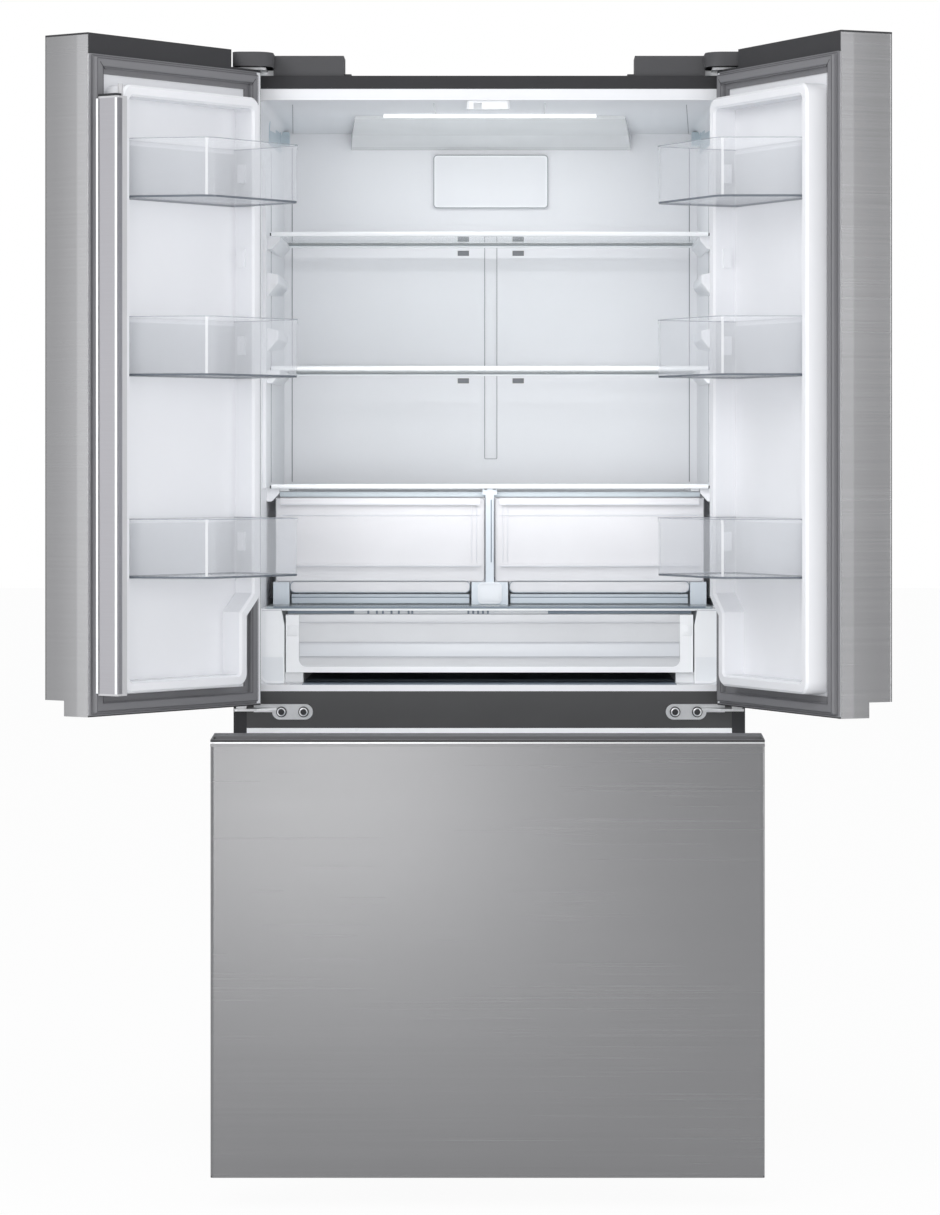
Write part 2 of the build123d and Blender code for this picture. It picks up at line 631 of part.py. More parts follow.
def rear_roller(side):
    """A transport roller on its pin."""
    x = side * FOOT_X
    end = (x - ROLLER_WIDTH / 2, ROLLER_Y, ROLLER_RADIUS)
    wheel = rod(ROLLER_RADIUS, end, "X", ROLLER_WIDTH, ROLLER_SIDES)
    return wheel - rod(ROLLER_PIN + RUN, (x - ROLLER_WIDTH, ROLLER_Y, ROLLER_RADIUS), "X", 2 * ROLLER_WIDTH)


# ---- Fresh food fittings ----
def shelf_plan(front, back, edge):
    """A shelf's outline seen from above, as far in from its own edges as stated."""
    near = wall_at(front) - SHELF_SIDE_GAP - edge
    far = wall_at(back) - SHELF_SIDE_GAP - edge
    return [(-near, front + edge), (near, front + edge), (far, back - edge), (-far, back - edge)]


def shelf_glass(level):
    """A glass shelf resting on the side wall rests."""
    return prism(shelf_plan(SHELF_FRONT, SHELF_BACK, 2.0), (level, level + GLASS))


def shelf_trims(level):
    """Front and rear trims that grip a glass shelf."""
    low = level - TRIM_UNDER
    front = prism(shelf_plan(SHELF_FRONT, SHELF_FRONT + TRIM_DEPTH, 0.0), (low, low + TRIM_HEIGHT))
    front = chamfer(front.edges().filter_by(Axis.X).group_by(Axis.Y)[0], 2.0)
    back = prism(shelf_plan(SHELF_BACK - TRIM_DEPTH, SHELF_BACK, 0.0), (level - 4, level + GLASS + 2))
    glass = prism(shelf_plan(SHELF_FRONT, SHELF_BACK, 2.0), (level, level + GLASS))
    trims = [front - glass, back - glass - ledge(level, (SHELF_FRONT + 12, SHELF_BACK))]
    trims[0] -= ledge(level, (SHELF_FRONT + 12, SHELF_BACK))
    return Compound([solid for trim in trims for solid in trim.solids()])


def crisper_cover_frame():
    """White frame under the crisper cover glass, with a front trim and side rails."""
    front = shelf_trims(CRISPER_COVER)
    outer = wall_at(SHELF_BACK) - LEDGE - 1
    depth = (SHELF_FRONT + TRIM_DEPTH, SHELF_BACK - TRIM_DEPTH)
    rail = block((-outer, 14 - outer), depth, (CRISPER_COVER - 5, CRISPER_COVER))
    return Compound([*front.solids(), *both_sides(rail).solids()])


def pantry_rail_covers():
    """Moulded rails at both sides of the pantry drawer, standing on the cavity floor."""
    inner = ROOM_HALF - RAIL_COVER_WIDTH
    back = PANTRY_BACK
    points = [(-HALF, FLOOR), (-inner, FLOOR), (-inner, RAIL_COVER_TOP - 26), (-inner - 5, RAIL_COVER_TOP)]
    cover = profile_along_y([*points, (-HALF, RAIL_COVER_TOP)], (PANTRY_FRONT - 4, back + 10))
    cover &= fridge_room(-SEAT)
    top = FLOOR + PANTRY_LIFT - SEAT
    runner = block((-inner - 1, -inner + RUNNER), (PANTRY_FRONT + 16, back), (FLOOR + SEAT, top))
    return both_sides(cover + runner)


def pantry_cover_glass():
    """Glass roof of the pantry drawer, resting on both rail covers."""
    front, back = PANTRY_FRONT + 2, FRIDGE_DEPTH - 8
    plan = shelf_plan(front, back, 0.0)
    glass = prism(plan, (RAIL_COVER_TOP, PANTRY_GLASS_TOP))
    return fillet(glass.edges().filter_by(Axis.Z).sort_by(Axis.Y)[:2], 12.0)


def trough(x, z, lean, bend, wall):
    """Front view of a moulded drawer: leaning sides, round lower corners; drawn in by a wall."""
    top, low = z[1] + wall, z[0] + wall
    left, right = x[0] + wall, x[1] - wall
    base = [(right - lean, low), (left + lean, low)]
    face = make_face(Polyline((left, top), (right, top), *base, close=True))
    return fillet(face.vertices().sort_by(Axis.Y)[:2], bend - wall)


def pantry_drawer():
    """Full-width drawer: a trough with round lower corners behind a framed window front."""
    half = ROOM_HALF - RAIL_COVER_WIDTH - 2.0
    low, high = FLOOR + PANTRY_LIFT, FLOOR + PANTRY_LIFT + PANTRY_HEIGHT
    near, far = PANTRY_FRONT, PANTRY_BACK
    front = slab(pane((-half, half), (low, high)), (near, near + 9))
    front -= slab(pane((-half + 21, half - 21), (low + 12, high - 12), 6.0), (near, near + 2.5))
    front -= block((-half + 40, half - 40), (near + 3.5, near + 9), (high - 9, high))
    outside = trough((-half + 4, half - 4), (low, high), 3.0, 14.0, 0.0)
    inside = trough((-half + 4, half - 4), (low, high), 3.0, 14.0, CRISPER_WALL)
    return front + slab(outside, (near + 6, far)) - slab(inside, (near + 9, far - CRISPER_WALL))


def crisper_supports():
    """Rails for both crispers: a centre post with a head under the cover, and a rail at each side."""
    near, back = SHELF_FRONT + 4, CRISPER_BACK
    height = (PANTRY_GLASS_TOP, CRISPER_RAIL)
    hollow = (PANTRY_GLASS_TOP + 3, CRISPER_RAIL - 3)
    foot = block((-30 - SEAT, 30 + SEAT), (near, back), height) - block((-24, 24), (near + 4, back), hollow)
    post = (near, near + 36)
    stem = block((-POST_WIDTH / 2, POST_WIDTH / 2), post, (CRISPER_RAIL - 4, CRISPER_COVER - 5))
    head = block((-12, 12), post, (CRISPER_COVER - 11, CRISPER_COVER - TRIM_UNDER))
    over = (CRISPER_COVER - 1, CRISPER_COVER + TRIM_HEIGHT)
    head -= block((-14, 14), (SHELF_FRONT, SHELF_FRONT + TRIM_DEPTH + 0.2), over)
    web = block((-2, 2), (near, back), (CRISPER_RAIL - 4, CRISPER_RAIL + 30))
    centre = foot + stem + head + web
    outer = wall_at(back) - 2.0
    inner = crisper_span()[1] - CRISPER_STEP + 1.0
    rail = block((-outer, -inner), (near, back), height)
    rail -= block((-outer + 4, -inner - 4), (near + 4, back), hollow)
    return Compound([*centre.solids(), *both_sides(rail).solids()])


def crisper_span():
    """Inner and outer side of a crisper, as distances from the cabinet's middle."""
    return POST_WIDTH / 2 + 1.5, wall_at(CRISPER_BACK) - 6.0


def crisper(side):
    """Clear vegetable drawer: a wide tub with a narrower foot that runs between its rails."""
    near, far = crisper_span()
    step = CRISPER_RAIL + SEAT
    top, low = CRISPER_COVER - LEDGE_HEIGHT - CRISPER_CLEAR, step - CRISPER_FOOT
    front, back = SHELF_FRONT + 9, CRISPER_BACK

    def section(wall):
        left, right = near + wall, far - wall
        rim, shelf, base = top + wall, step + wall, low + wall
        inner = [(left, rim), (left, shelf), (left + CRISPER_STEP, shelf), (left + CRISPER_STEP, base)]
        outer = [(right - CRISPER_STEP, base), (right - CRISPER_STEP, shelf), (right, shelf), (right, rim)]
        face = make_face(Polyline(*inner, *outer, close=True))
        return fillet(face.vertices().sort_by(Axis.Y)[:2], CRISPER_BEND - wall)

    room = slab(section(CRISPER_WALL), (front + CRISPER_WALL, back - CRISPER_WALL))
    body = slab(section(0.0), (front, back)) - room
    width = (near + 8, far - 8)
    body += block(width, (front - 5, front), (step + 26, step + 30))
    under = top - CRISPER_WALL
    lip = front - 7 + CRISPER_WALL
    brow = [(front - 7, top), (front - 7, top - 12), (lip, top - 12), (lip, under), (front + 1, under)]
    body += profile_along_x([*brow, (front + 1, top)], width)
    return other_side(body) if side < 0 else body


def light_housing():
    """Clear lamp cover that sweeps from the ceiling down to the back wall."""
    front, back = LAMP_FRONT, FRIDGE_DEPTH - 1.0
    slope = [
        (front, ceiling_at(front) - SEAT),
        (front + 6, ceiling_at(front) - 5),
        (back - 110, ceiling_at(back) - 11),
        (back - 30, ceiling_at(back) - LAMP_DROP + 3),
        (back, ceiling_at(back) - LAMP_DROP),
        (back, ceiling_at(back) - SEAT),
    ]
    body = profile_along_x(slope, (-LAMP_BACK_WIDTH / 2, LAMP_BACK_WIDTH / 2))
    spread = (LAMP_BACK_WIDTH - LAMP_FRONT_WIDTH) / 2
    for side in (-1, 1):
        outer = side * (LAMP_BACK_WIDTH / 2 + 1)
        edge = side * LAMP_BACK_WIDTH / 2
        plan = [(outer, front - 1), (edge - side * spread, front - 1), (edge, back + 1), (outer, back + 1)]
        body -= prism(plan, (CEILING - 80, CEILING + 10))
    hollow = [(y + (2.5 if y < back else -2.5), z + 2.5) for y, z in slope[1:5]]
    hollow = [(front + 12, ceiling_at(front) - 0.3), *hollow, (back - 2.5, ceiling_at(back))]
    return body - profile_along_x(hollow, (-LAMP_FRONT_WIDTH / 2 + 6, LAMP_FRONT_WIDTH / 2 - 6))


def light_strip():
    """Ceiling light strip just in front of the lamp cover."""
    back = LAMP_FRONT - 12
    front = back - STRIP_DEPTH
    high = [(front, ceiling_at(front) - SEAT), (back, ceiling_at(back) - SEAT)]
    low = [(back, ceiling_at(back) - 4.5), (front, ceiling_at(front) - 4.5)]
    return profile_along_x(high + low, (-STRIP_WIDTH / 2, STRIP_WIDTH / 2))


def duct_panel():
    """Bare raised panel on the back wall, in front of the air duct."""
    outline = pane((-DUCT_WIDTH / 2, DUCT_WIDTH / 2), (DUCT_TOP - DUCT_HEIGHT, DUCT_TOP), 6.5)
    return slab(outline, (FRIDGE_DEPTH - DUCT_THICKNESS, FRIDGE_DEPTH))


def cam_place(folded):
    """Centre of the mullion's cam pin with the left door closed."""
    across, deep = 28.0, 8.0
    if folded:
        across, deep = -deep, across
    return BAR_PIVOT[0] + across, BAR_PIVOT[1] + deep


def mullion_guide():
    """Ceiling block whose curved slot turns the mullion's cam pin as the left door closes."""
    end = cam_place(False)
    entry = cam_place(True)[0]
    y = (6.0, end[1] + 13.0)
    plan = Pos(-2.0, middle(y)) * Rectangle(70.0, y[1] - y[0])
    plan = chamfer(plan.vertices(), 3.0)
    low = BAR_Z[1] + CAM_PIN_HEIGHT - 6
    body = extrude(Pos(0, 0, low) * plan, amount=ceiling_at(y[0]) - low + 1)
    body &= fridge_room(-0.05)
    path = ThreePointArc((entry, 0), (entry + 8, 11), end)
    slot = trace(path, line_width=2 * CAM_PIN + 2.5) + Pos(*end) * Circle(CAM_PIN + 1.25)
    return body - extrude(Pos(0, 0, low - 1) * slot, amount=CAM_PIN_HEIGHT - 8)


# ---- Doors, drawn closed on the left side ----
def skin(x, z):
    """Stainless sheet bent round the front and both sides of a door or drawer front."""
    y = (DOOR_FRONT, DOOR_INNER)
    outside = block(x, y, z)
    front_edges = outside.edges().filter_by(Axis.Z).group_by(Axis.Y)[0]
    outside = fillet(front_edges, CORNER)
    inside = block((x[0] + SHEET, x[1] - SHEET), (y[0] + SHEET, y[1]), z)
    front_edges = inside.edges().filter_by(Axis.Z).group_by(Axis.Y)[0]
    return outside - fillet(front_edges, CORNER - SHEET)


def door_span():
    """Left door from hinge edge to free edge."""
    return DOOR_HINGE_EDGE, DOOR_FREE_EDGE


def hinge_pocket(grow=0.0):
    """Space in the door's top corner for the hinge arm."""
    x = (DOOR_HINGE_EDGE - 1, DOOR_HINGE_EDGE + POCKET_WIDTH + grow)
    y = (DOOR_INNER - POCKET_REACH - grow, DOOR_INNER + 1)
    corner = block(x, y, (POCKET_FLOOR - grow, DOOR_TOP + 1))
    inner_edge = corner.edges().filter_by(Axis.Z).sort_by(Axis.X)[-2:].sort_by(Axis.Y)[0]
    return chamfer(inner_edge, POCKET_CORNER)


def grip_step(x):
    """Space in front of the lower edge that lets fingers reach under the door."""
    depth = (DOOR_FRONT - 1, DOOR_FRONT + GRIP_DEPTH)
    return block((x[0] - 1, x[1] + 1), depth, (DOOR_BOTTOM - 1, DOOR_BOTTOM + GRIP_RISE))


def door_skin():
    """Stainless skin of a door with its finger step and hinge cut-out."""
    x = door_span()
    return skin(x, (DOOR_BOTTOM, DOOR_TOP - CAP_WALL)) - grip_step(x) - hinge_pocket()


def pin_bore(z):
    """Running bore for a hinge pin."""
    return rod(HINGE_PIN + RUN, (HINGE_X, HINGE_Y, z[0]), "Z", z[1] - z[0])


def pin_boss(z):
    """Square boss round a hinge pin."""
    return block((HINGE_X - PIN_BOSS, HINGE_X + PIN_BOSS), (HINGE_Y - PIN_BOSS, HINGE_Y + PIN_BOSS), z)


def door_top_cap():
    """Moulded top cap with a deep inner lip, the hinge pocket and the pin's boss."""
    x0, x1 = door_span()
    plate = block((x0, x1), (DOOR_FRONT, DOOR_INNER), (DOOR_TOP - CAP_WALL, DOOR_TOP))
    plate = fillet(plate.edges().filter_by(Axis.Z).group_by(Axis.Y)[0], CORNER)
    inside = (x0 + SHEET, x1 - SHEET)
    body = plate + block(inside, (DOOR_INNER - 2.5, DOOR_INNER), (DOOR_TOP - CAP_LIP, DOOR_TOP - CAP_WALL))
    depth = (DOOR_FRONT + 10, DOOR_INNER)
    body += hinge_pocket(CAP_WALL) & block(inside, depth, (DOOR_TOP - CAP_LIP, DOOR_TOP))
    body += pin_boss((POCKET_FLOOR - 22, POCKET_FLOOR))
    return body - hinge_pocket() - pin_bore((POCKET_FLOOR - 20, POCKET_FLOOR + 5))


def door_bottom_cap():
    """Moulded bottom cap, stepped, with a long finger slot under the front part."""
    x0, x1 = door_span()
    x = (x0 + SHEET, x1 - SHEET)
    split = DOOR_FRONT + GRIP_DEPTH
    step = DOOR_BOTTOM + GRIP_RISE
    body = block(x, (DOOR_FRONT + SHEET, split + CAP_WALL), (step, step + CAP_WALL))
    body = chamfer(body.edges().filter_by(Axis.Z).group_by(Axis.Y)[0], CORNER - SHEET)
    body += block(x, (split, DOOR_INNER), (DOOR_BOTTOM, DOOR_BOTTOM + CAP_WALL))
    body += block(x, (split, split + CAP_WALL), (DOOR_BOTTOM, step + CAP_WALL))
    body += grip_slot(CAP_WALL - 0.5) + pin_boss((DOOR_BOTTOM + 1, DOOR_BOTTOM + 25))
    return body - grip_slot(0.0) - pin_bore((DOOR_BOTTOM - 1, DOOR_BOTTOM + 22))


def door_caps():
    """Top and bottom cap of a door."""
    return Compound([*door_top_cap().solids(), *door_bottom_cap().solids()])


def grip_slot(wall):
    """Long slot with a sloped roof under the front of the door, or its housing when grown by a wall."""
    x0, x1 = door_span()
    near = DOOR_FRONT + 9
    low, high = DOOR_BOTTOM + GRIP_RISE - (1 if wall == 0 else 0), DOOR_BOTTOM + GRIP_RISE + GRIP_SLOT
    depth = (near - wall, near + GRIP_SLOT + wall)
    body = block((x0 + 14 - wall, x1 - 14 + wall), depth, (low, high + wall))
    roof = body.faces().sort_by(Axis.Z)[-1].edges().filter_by(Axis.X)
    return chamfer(roof, GRIP_ROOF + wall)


def dyke_outline(inset, bevel=False):
    """Outline of the raised ridge round a door liner, cut away at its lower hinge corner."""
    x0, x1 = DYKE_X[0] + inset, DYKE_X[1] - inset
    z0, z1 = DYKE_BOTTOM + inset, DYKE_TOP - inset
    cut = DYKE_BOTTOM + DYKE_CUT_HEIGHT + inset * 0.4
    points = [(x1, z0), (x1, z1), (x0, z1), (x0, cut), (x0 + DYKE_CUT, cut - 30), (x0 + DYKE_CUT, z0)]
    face = make_face(Polyline(*points, close=True))
    size = max(DYKE_CORNER - inset * 0.7, 4.0)
    square = [v for v in face.vertices() if abs(v.Y - cut + 15) > 20]
    return chamfer(square, size * 0.6) if bevel else fillet(square, size)


def bin_floors():
    """Heights of the bin floors above the ground."""
    lowest, highest = FLOOR + LOWER_BIN_RISE, CEILING - UPPER_BIN_DROP
    return [lowest, middle((lowest, highest)) + MIDDLE_BIN_RISE, highest]


def boss_levels():
    """Lower ends of the hooks on the door liner: one at each bin, and a spare one."""
    return [*(level + BOSS_RISE for level in bin_floors()), middle(bin_floors()[1:]) + 40]


def door_liner():
    """Vacuum-formed door liner: flat flange, hollow ridge, recess with hooks for the bins."""
    x0, x1 = door_span()
    y_flange = (DOOR_INNER - 2, DOOR_INNER)
    ridge_top = DOOR_INNER + DYKE_RISE
    body = slab(pane((x0 + SHEET, x1 - SHEET), (DOOR_BOTTOM + CAP_WALL, DOOR_TOP - CAP_LIP)), y_flange)
    ridge = slab(dyke_outline(0.0), (y_flange[0], ridge_top))
    ridge -= slab(dyke_outline(DYKE_WIDTH), (RECESS_FLOOR, ridge_top))
    ridge = chamfer(ridge.faces().sort_by(Axis.Y)[-1].edges(), 3.5)
    body += ridge
    body -= dyke_core()
    for level in boss_levels():
        for wall, way in ((RECESS_X[0], 1), (RECESS_X[1], -1)):
            span = tuple(sorted((wall - way, wall + way * BOSS)))
            body += block(span, BOSS_Y, (level, level + BOSS_HEIGHT))
    return body


def dyke_core():
    """Foam space inside the liner's ridge."""
    core = slab(dyke_outline(DYKE_SKIN, True), (DOOR_INNER - 2, DOOR_INNER + DYKE_RISE - 5.0))
    return core - slab(dyke_outline(DYKE_WIDTH - DYKE_SKIN, True), (DOOR_INNER - 3, DOOR_INNER + DYKE_RISE))


def door_insulation():
    """Foam that fills the door between the skin, both caps and the liner."""
    x0, x1 = door_span()
    x = (x0 + SHEET, x1 - SHEET)
    low, step = DOOR_BOTTOM + CAP_WALL, DOOR_BOTTOM + GRIP_RISE + CAP_WALL
    split = DOOR_FRONT + GRIP_DEPTH + CAP_WALL
    body = block(x, (DOOR_FRONT + SHEET, DOOR_INNER - 2), (step, DOOR_TOP - CAP_WALL))
    body = chamfer(body.edges().filter_by(Axis.Z).group_by(Axis.Y)[0], CORNER - SHEET)
    body += block(x, (split, DOOR_INNER - 2), (low, step)) + dyke_core()
    body -= block(x, (DOOR_INNER - 2.5, DOOR_INNER), (DOOR_TOP - CAP_LIP, DOOR_TOP))
    body -= hinge_pocket(CAP_WALL) + grip_slot(CAP_WALL - 0.5)
    return body - pin_boss((POCKET_FLOOR - 22, POCKET_FLOOR)) - pin_boss((DOOR_BOTTOM, DOOR_BOTTOM + 25))


def ring(x, z, width, y):
    """A rectangular ring seen from the front."""
    inner = pane((x[0] + width, x[1] - width), (z[0] + width, z[1] - width))
    return slab(pane(x, z) - inner, y)


def gasket(x, z):
    """Magnetic seal with mitred corners: a flat base and a bulb that meets the cabinet."""
    base = ring(x, z, GASKET_WIDTH, (DOOR_INNER, DOOR_INNER + GASKET_BASE))
    nose = DOOR_INNER + GASKET_THICKNESS
    bulb_x = (x[0] + GASKET_EDGE, x[1] - GASKET_EDGE)
    bulb_z = (z[0] + GASKET_EDGE, z[1] - GASKET_EDGE)
    bulb = ring(bulb_x, bulb_z, GASKET_BULB, (DOOR_INNER, nose))
    return base + chamfer(bulb.faces().sort_by(Axis.Y)[-1].edges(), 3.0)


def door_gasket():
    """Seal round a door, set in from the hinge edge."""
    x0, x1 = door_span()
    return gasket((x0 + HINGE_FROM_SIDE - 2, x1 - 3), (DOOR_BOTTOM + 2, DOOR_TOP - CAP_LIP))


def door_bin(level):
    """Clear door bin, narrower at its front, hung by two hooks on the liner's bosses."""
    edge = BOSS + SEAT
    x0, x1 = RECESS_X[0] + edge, RECESS_X[1] - edge
    back, shoulder, front = RECESS_FLOOR + SEAT, DOOR_INNER + DYKE_RISE + 6, DOOR_INNER + BIN_REACH
    free, hinge = BIN_TAPER, BIN_TAPER / 3

    def plan(wall):
        points = [
            (x0 + wall, back + wall), (x1 - wall, back + wall), (x1 - wall, shoulder),
            (x1 - free - wall, front - wall), (x0 + hinge + wall, front - wall), (x0 + wall, shoulder),
        ]
        outline = make_face(Polyline(*points, close=True))
        return chamfer(outline.vertices().sort_by(Axis.Y)[-2:], (BIN_BEND - wall) * BEND_CUT)

    top = level + BIN_HEIGHT
    body = extrude(Pos(0, 0, level) * plan(BIN_RIM), amount=BIN_HEIGHT - 8)
    body += extrude(Pos(0, 0, top - 8) * plan(0.0), amount=8)
    for side, way in ((RECESS_X[0], 1), (RECESS_X[1], -1)):
        span = tuple(sorted((side + way * 0.5, side + way * (edge + 5))))
        hook = level + BOSS_RISE + BOSS_HEIGHT
        body += block(span, BOSS_Y, (hook, hook + 9))
    return body - extrude(Pos(0, 0, level + BIN_WALL) * plan(BIN_RIM + BIN_WALL), amount=BIN_HEIGHT)


def door_bins():
    """The bins of one door."""
    return Compound([solid for level in bin_floors() for solid in door_bin(level).solids()])


# ---- Mullion, drawn turned across the gap ----
def bar_section(grow):
    """Cross section of the bar, round about the pivot."""
    x = (BAR_X[0] - grow, BAR_X[1] + grow)
    y = (BAR_FACE_GAP - grow, BAR_FACE_GAP + BAR_THICKNESS + grow)
    section = Pos(middle(x), middle(y)) * Rectangle(x[1] - x[0], y[1] - y[0])
    corners = section.vertices().sort_by(Axis.Y)
    near = corners[:2].sort_by(Axis.X)
    section = fillet(near[0], BAR_ROUND + grow)
    rest = [v for v in section.vertices() if v.Y > y[1] - 1 or v.X > x[1] - 1]
    return chamfer(rest, 3.0 + grow * 0.6)


def lug_notches(grow=2.0):
    """Spaces at the bar's pivot side in which the hinge lugs stand."""
    x = (BAR_X[0] - 1, BAR_PIVOT[0] + 14)
    y = (BAR_FACE_GAP + BAR_SHEET + 0.2, BAR_FACE_GAP + BAR_THICKNESS + 1)
    body = None
    for level in LUG_LEVELS:
        notch = block(x, y, (level - grow, level + LUG_HEIGHT + grow))
        body = notch if body is None else body + notch
    return body


def bar_channel():
    """Thin channel round the bar's sealing face, before the lugs' notches."""
    section = bar_section(0.0) - bar_section(-BAR_SHEET)
    channel = extrude(Pos(0, 0, BAR_Z[0] + 3) * section, amount=BAR_Z[1] - BAR_Z[0] - 6)
    return channel & block((-HALF, HALF), (-10, BAR_FACE_GAP + BAR_RETURN), (0, DOOR_TOP))


def mullion_face():
    """Thin steel channel over the bar's sealing face."""
    return bar_channel() - lug_notches()


def mullion_bar():
    """Plastic body of the folding mullion with its bores and its cam pin on top."""
    body = extrude(Pos(0, 0, BAR_Z[0]) * bar_section(0.0), amount=BAR_Z[1] - BAR_Z[0])
    body -= bar_channel() + lug_notches()
    for level in LUG_LEVELS:
        body -= rod(PIN + RUN, (*BAR_PIVOT, level + LUG_HEIGHT), "Z", 14)
    x, y = cam_place(False)
    return body + rod(CAM_PIN, (x, y, BAR_Z[1] - 1), "Z", CAM_PIN_HEIGHT + 1)


def mullion_lugs():
    """Hinge lugs on the liner's free edge, each with a pin that the bar drops onto."""
    lugs = []
    depth = (BAR_PIVOT[1] - LUG / 2, BAR_PIVOT[1] + LUG / 2)
    for level in LUG_LEVELS:
        height = (level, level + LUG_HEIGHT)
        arm = block((DYKE_X[1], BAR_PIVOT[0]), depth, height)
        nose = block((BAR_PIVOT[0] - 1, BAR_PIVOT[0] + LUG / 2), depth, height)
        arm += chamfer(nose.edges().filter_by(Axis.Z).group_by(Axis.X)[-1], LUG / 4)
        lugs.append(arm + rod(PIN, (*BAR_PIVOT, level + LUG_HEIGHT - 1), "Z", 12))
    return Compound([solid for lug in lugs for solid in lug.solids()])


# ---- Hinges ----
def arm_plan(grow=0.0):
    """Plan of the hinge arm and its foot on the cabinet, for the left side."""
    left = HINGE_X - HINGE_FROM_SIDE + 2
    right = left + ARM_WIDTH
    nose = HINGE_Y - 27
    arm = pane((left - grow, right + grow), (nose - grow, COVER_DEPTH + grow))
    near = arm.vertices().sort_by(Axis.Y)[:2].sort_by(Axis.X)
    arm = fillet(near[1], 30.0)
    arm = fillet(arm.vertices().sort_by(Axis.X)[:2].sort_by(Axis.Y)[0], 14.0)
    return arm + pane((left - grow, left + COVER_LENGTH + grow), (6 - grow, COVER_DEPTH + grow))


def hinge_covers():
    """Moulded covers over the upper hinges."""
    body = extrude(Pos(0, 0, CASE_TOP) * arm_plan(), amount=HINGE_COVER_HEIGHT)
    body -= extrude(Pos(0, 0, CASE_TOP) * arm_plan(-COVER_WALL), amount=HINGE_COVER_HEIGHT - COVER_WALL)
    body -= block((-HALF - 10, 0), (DOOR_FRONT, -1), (CASE_TOP - 1, POCKET_FLOOR + HINGE_PLATE + 1.0))
    end = HINGE_X - HINGE_FROM_SIDE + 2 + COVER_LENGTH
    body += block((end - 1, end + 12), (16, COVER_DEPTH - 10), (CASE_TOP, CASE_TOP + 4))
    return both_sides(body)


def upper_bracket():
    """Steel arm of the left upper hinge with its pin, bolted to the cabinet's top."""
    low = POCKET_FLOOR + 0.5
    left = HINGE_X - HINGE_FROM_SIDE + 5
    right = left + UPPER_ARM_WIDTH
    arm = block((left, right), (HINGE_Y - 10, COVER_DEPTH - 8), (low, low + HINGE_PLATE))
    arm = chamfer(arm.edges().filter_by(Axis.Z).group_by(Axis.Y)[0], 6)
    arm += block((left, right), (8, COVER_DEPTH - 8), (CASE_TOP, low + 1))
    plate = (right - 1, left + UPPER_PLATE_LENGTH)
    arm += block(plate, (14, COVER_DEPTH - 14), (CASE_TOP, low + HINGE_PLATE))
    return arm + rod(HINGE_PIN, (HINGE_X, HINGE_Y, POCKET_FLOOR - 17), "Z", 18)


def lower_bracket():
    """Steel plate of the left lower hinge with its two screws, its arm under the door and its pin."""
    inner = DOOR_HINGE_EDGE + LOWER_PLATE_END
    outer = inner - LOWER_PLATE_LENGTH
    z = (LOWER_PLATE_LEVEL, LOWER_PLATE_LEVEL + LOWER_PLATE_HEIGHT)
    plate = slab(pane((outer, inner), z, LOWER_PLATE_HEIGHT / 2 - 0.1), (-LOWER_PLATE, 0))
    plate += block((outer - 30, inner - 40), (-LOWER_PLATE, 0), (z[1] - 13, z[1]))
    for way in (-1, 1):
        across = middle((outer, inner)) + way * SCREW_SPACING / 2
        screw = (across, -LOWER_PLATE - SCREW_HEAD_HEIGHT, middle(z))
        plate += rod(SCREW_HEAD, screw, "Y", SCREW_HEAD_HEIGHT, SCREW_SIDES)
    arm_z = (z[1] - 9, z[1] - 9 + HINGE_PLATE)
    arm = block((HINGE_X - 11, outer + 8), (HINGE_Y - 10, 0), arm_z)
    arm = chamfer(arm.edges().filter_by(Axis.Z).group_by(Axis.Y)[0].sort_by(Axis.X)[-1], 30.0)
    pin = rod(HINGE_PIN, (HINGE_X, HINGE_Y, arm_z[1] - 1), "Z", DOOR_BOTTOM + 19 - arm_z[1])
    across, along = (HINGE_X - 8, HINGE_X + 8), (HINGE_Y - 8, HINGE_Y + 8)
    washer = block(across, along, (arm_z[1] - 1, DOOR_BOTTOM - 0.5))
    return plate + arm + washer + pin


def hinge_brackets():
    """Upper and lower hinge brackets of both doors."""
    return Compound([*both_sides(upper_bracket()).solids(), *both_sides(lower_bracket()).solids()])


# ---- Freezer drawer, drawn closed ----
def drawer_span():
    """Drawer front from side to side."""
    return -HALF, HALF


def drawer_skin():
    """Stainless skin of the drawer front."""
    return skin(drawer_span(), (DRAWER_BOTTOM + CAP_WALL, DRAWER_TOP - 10))


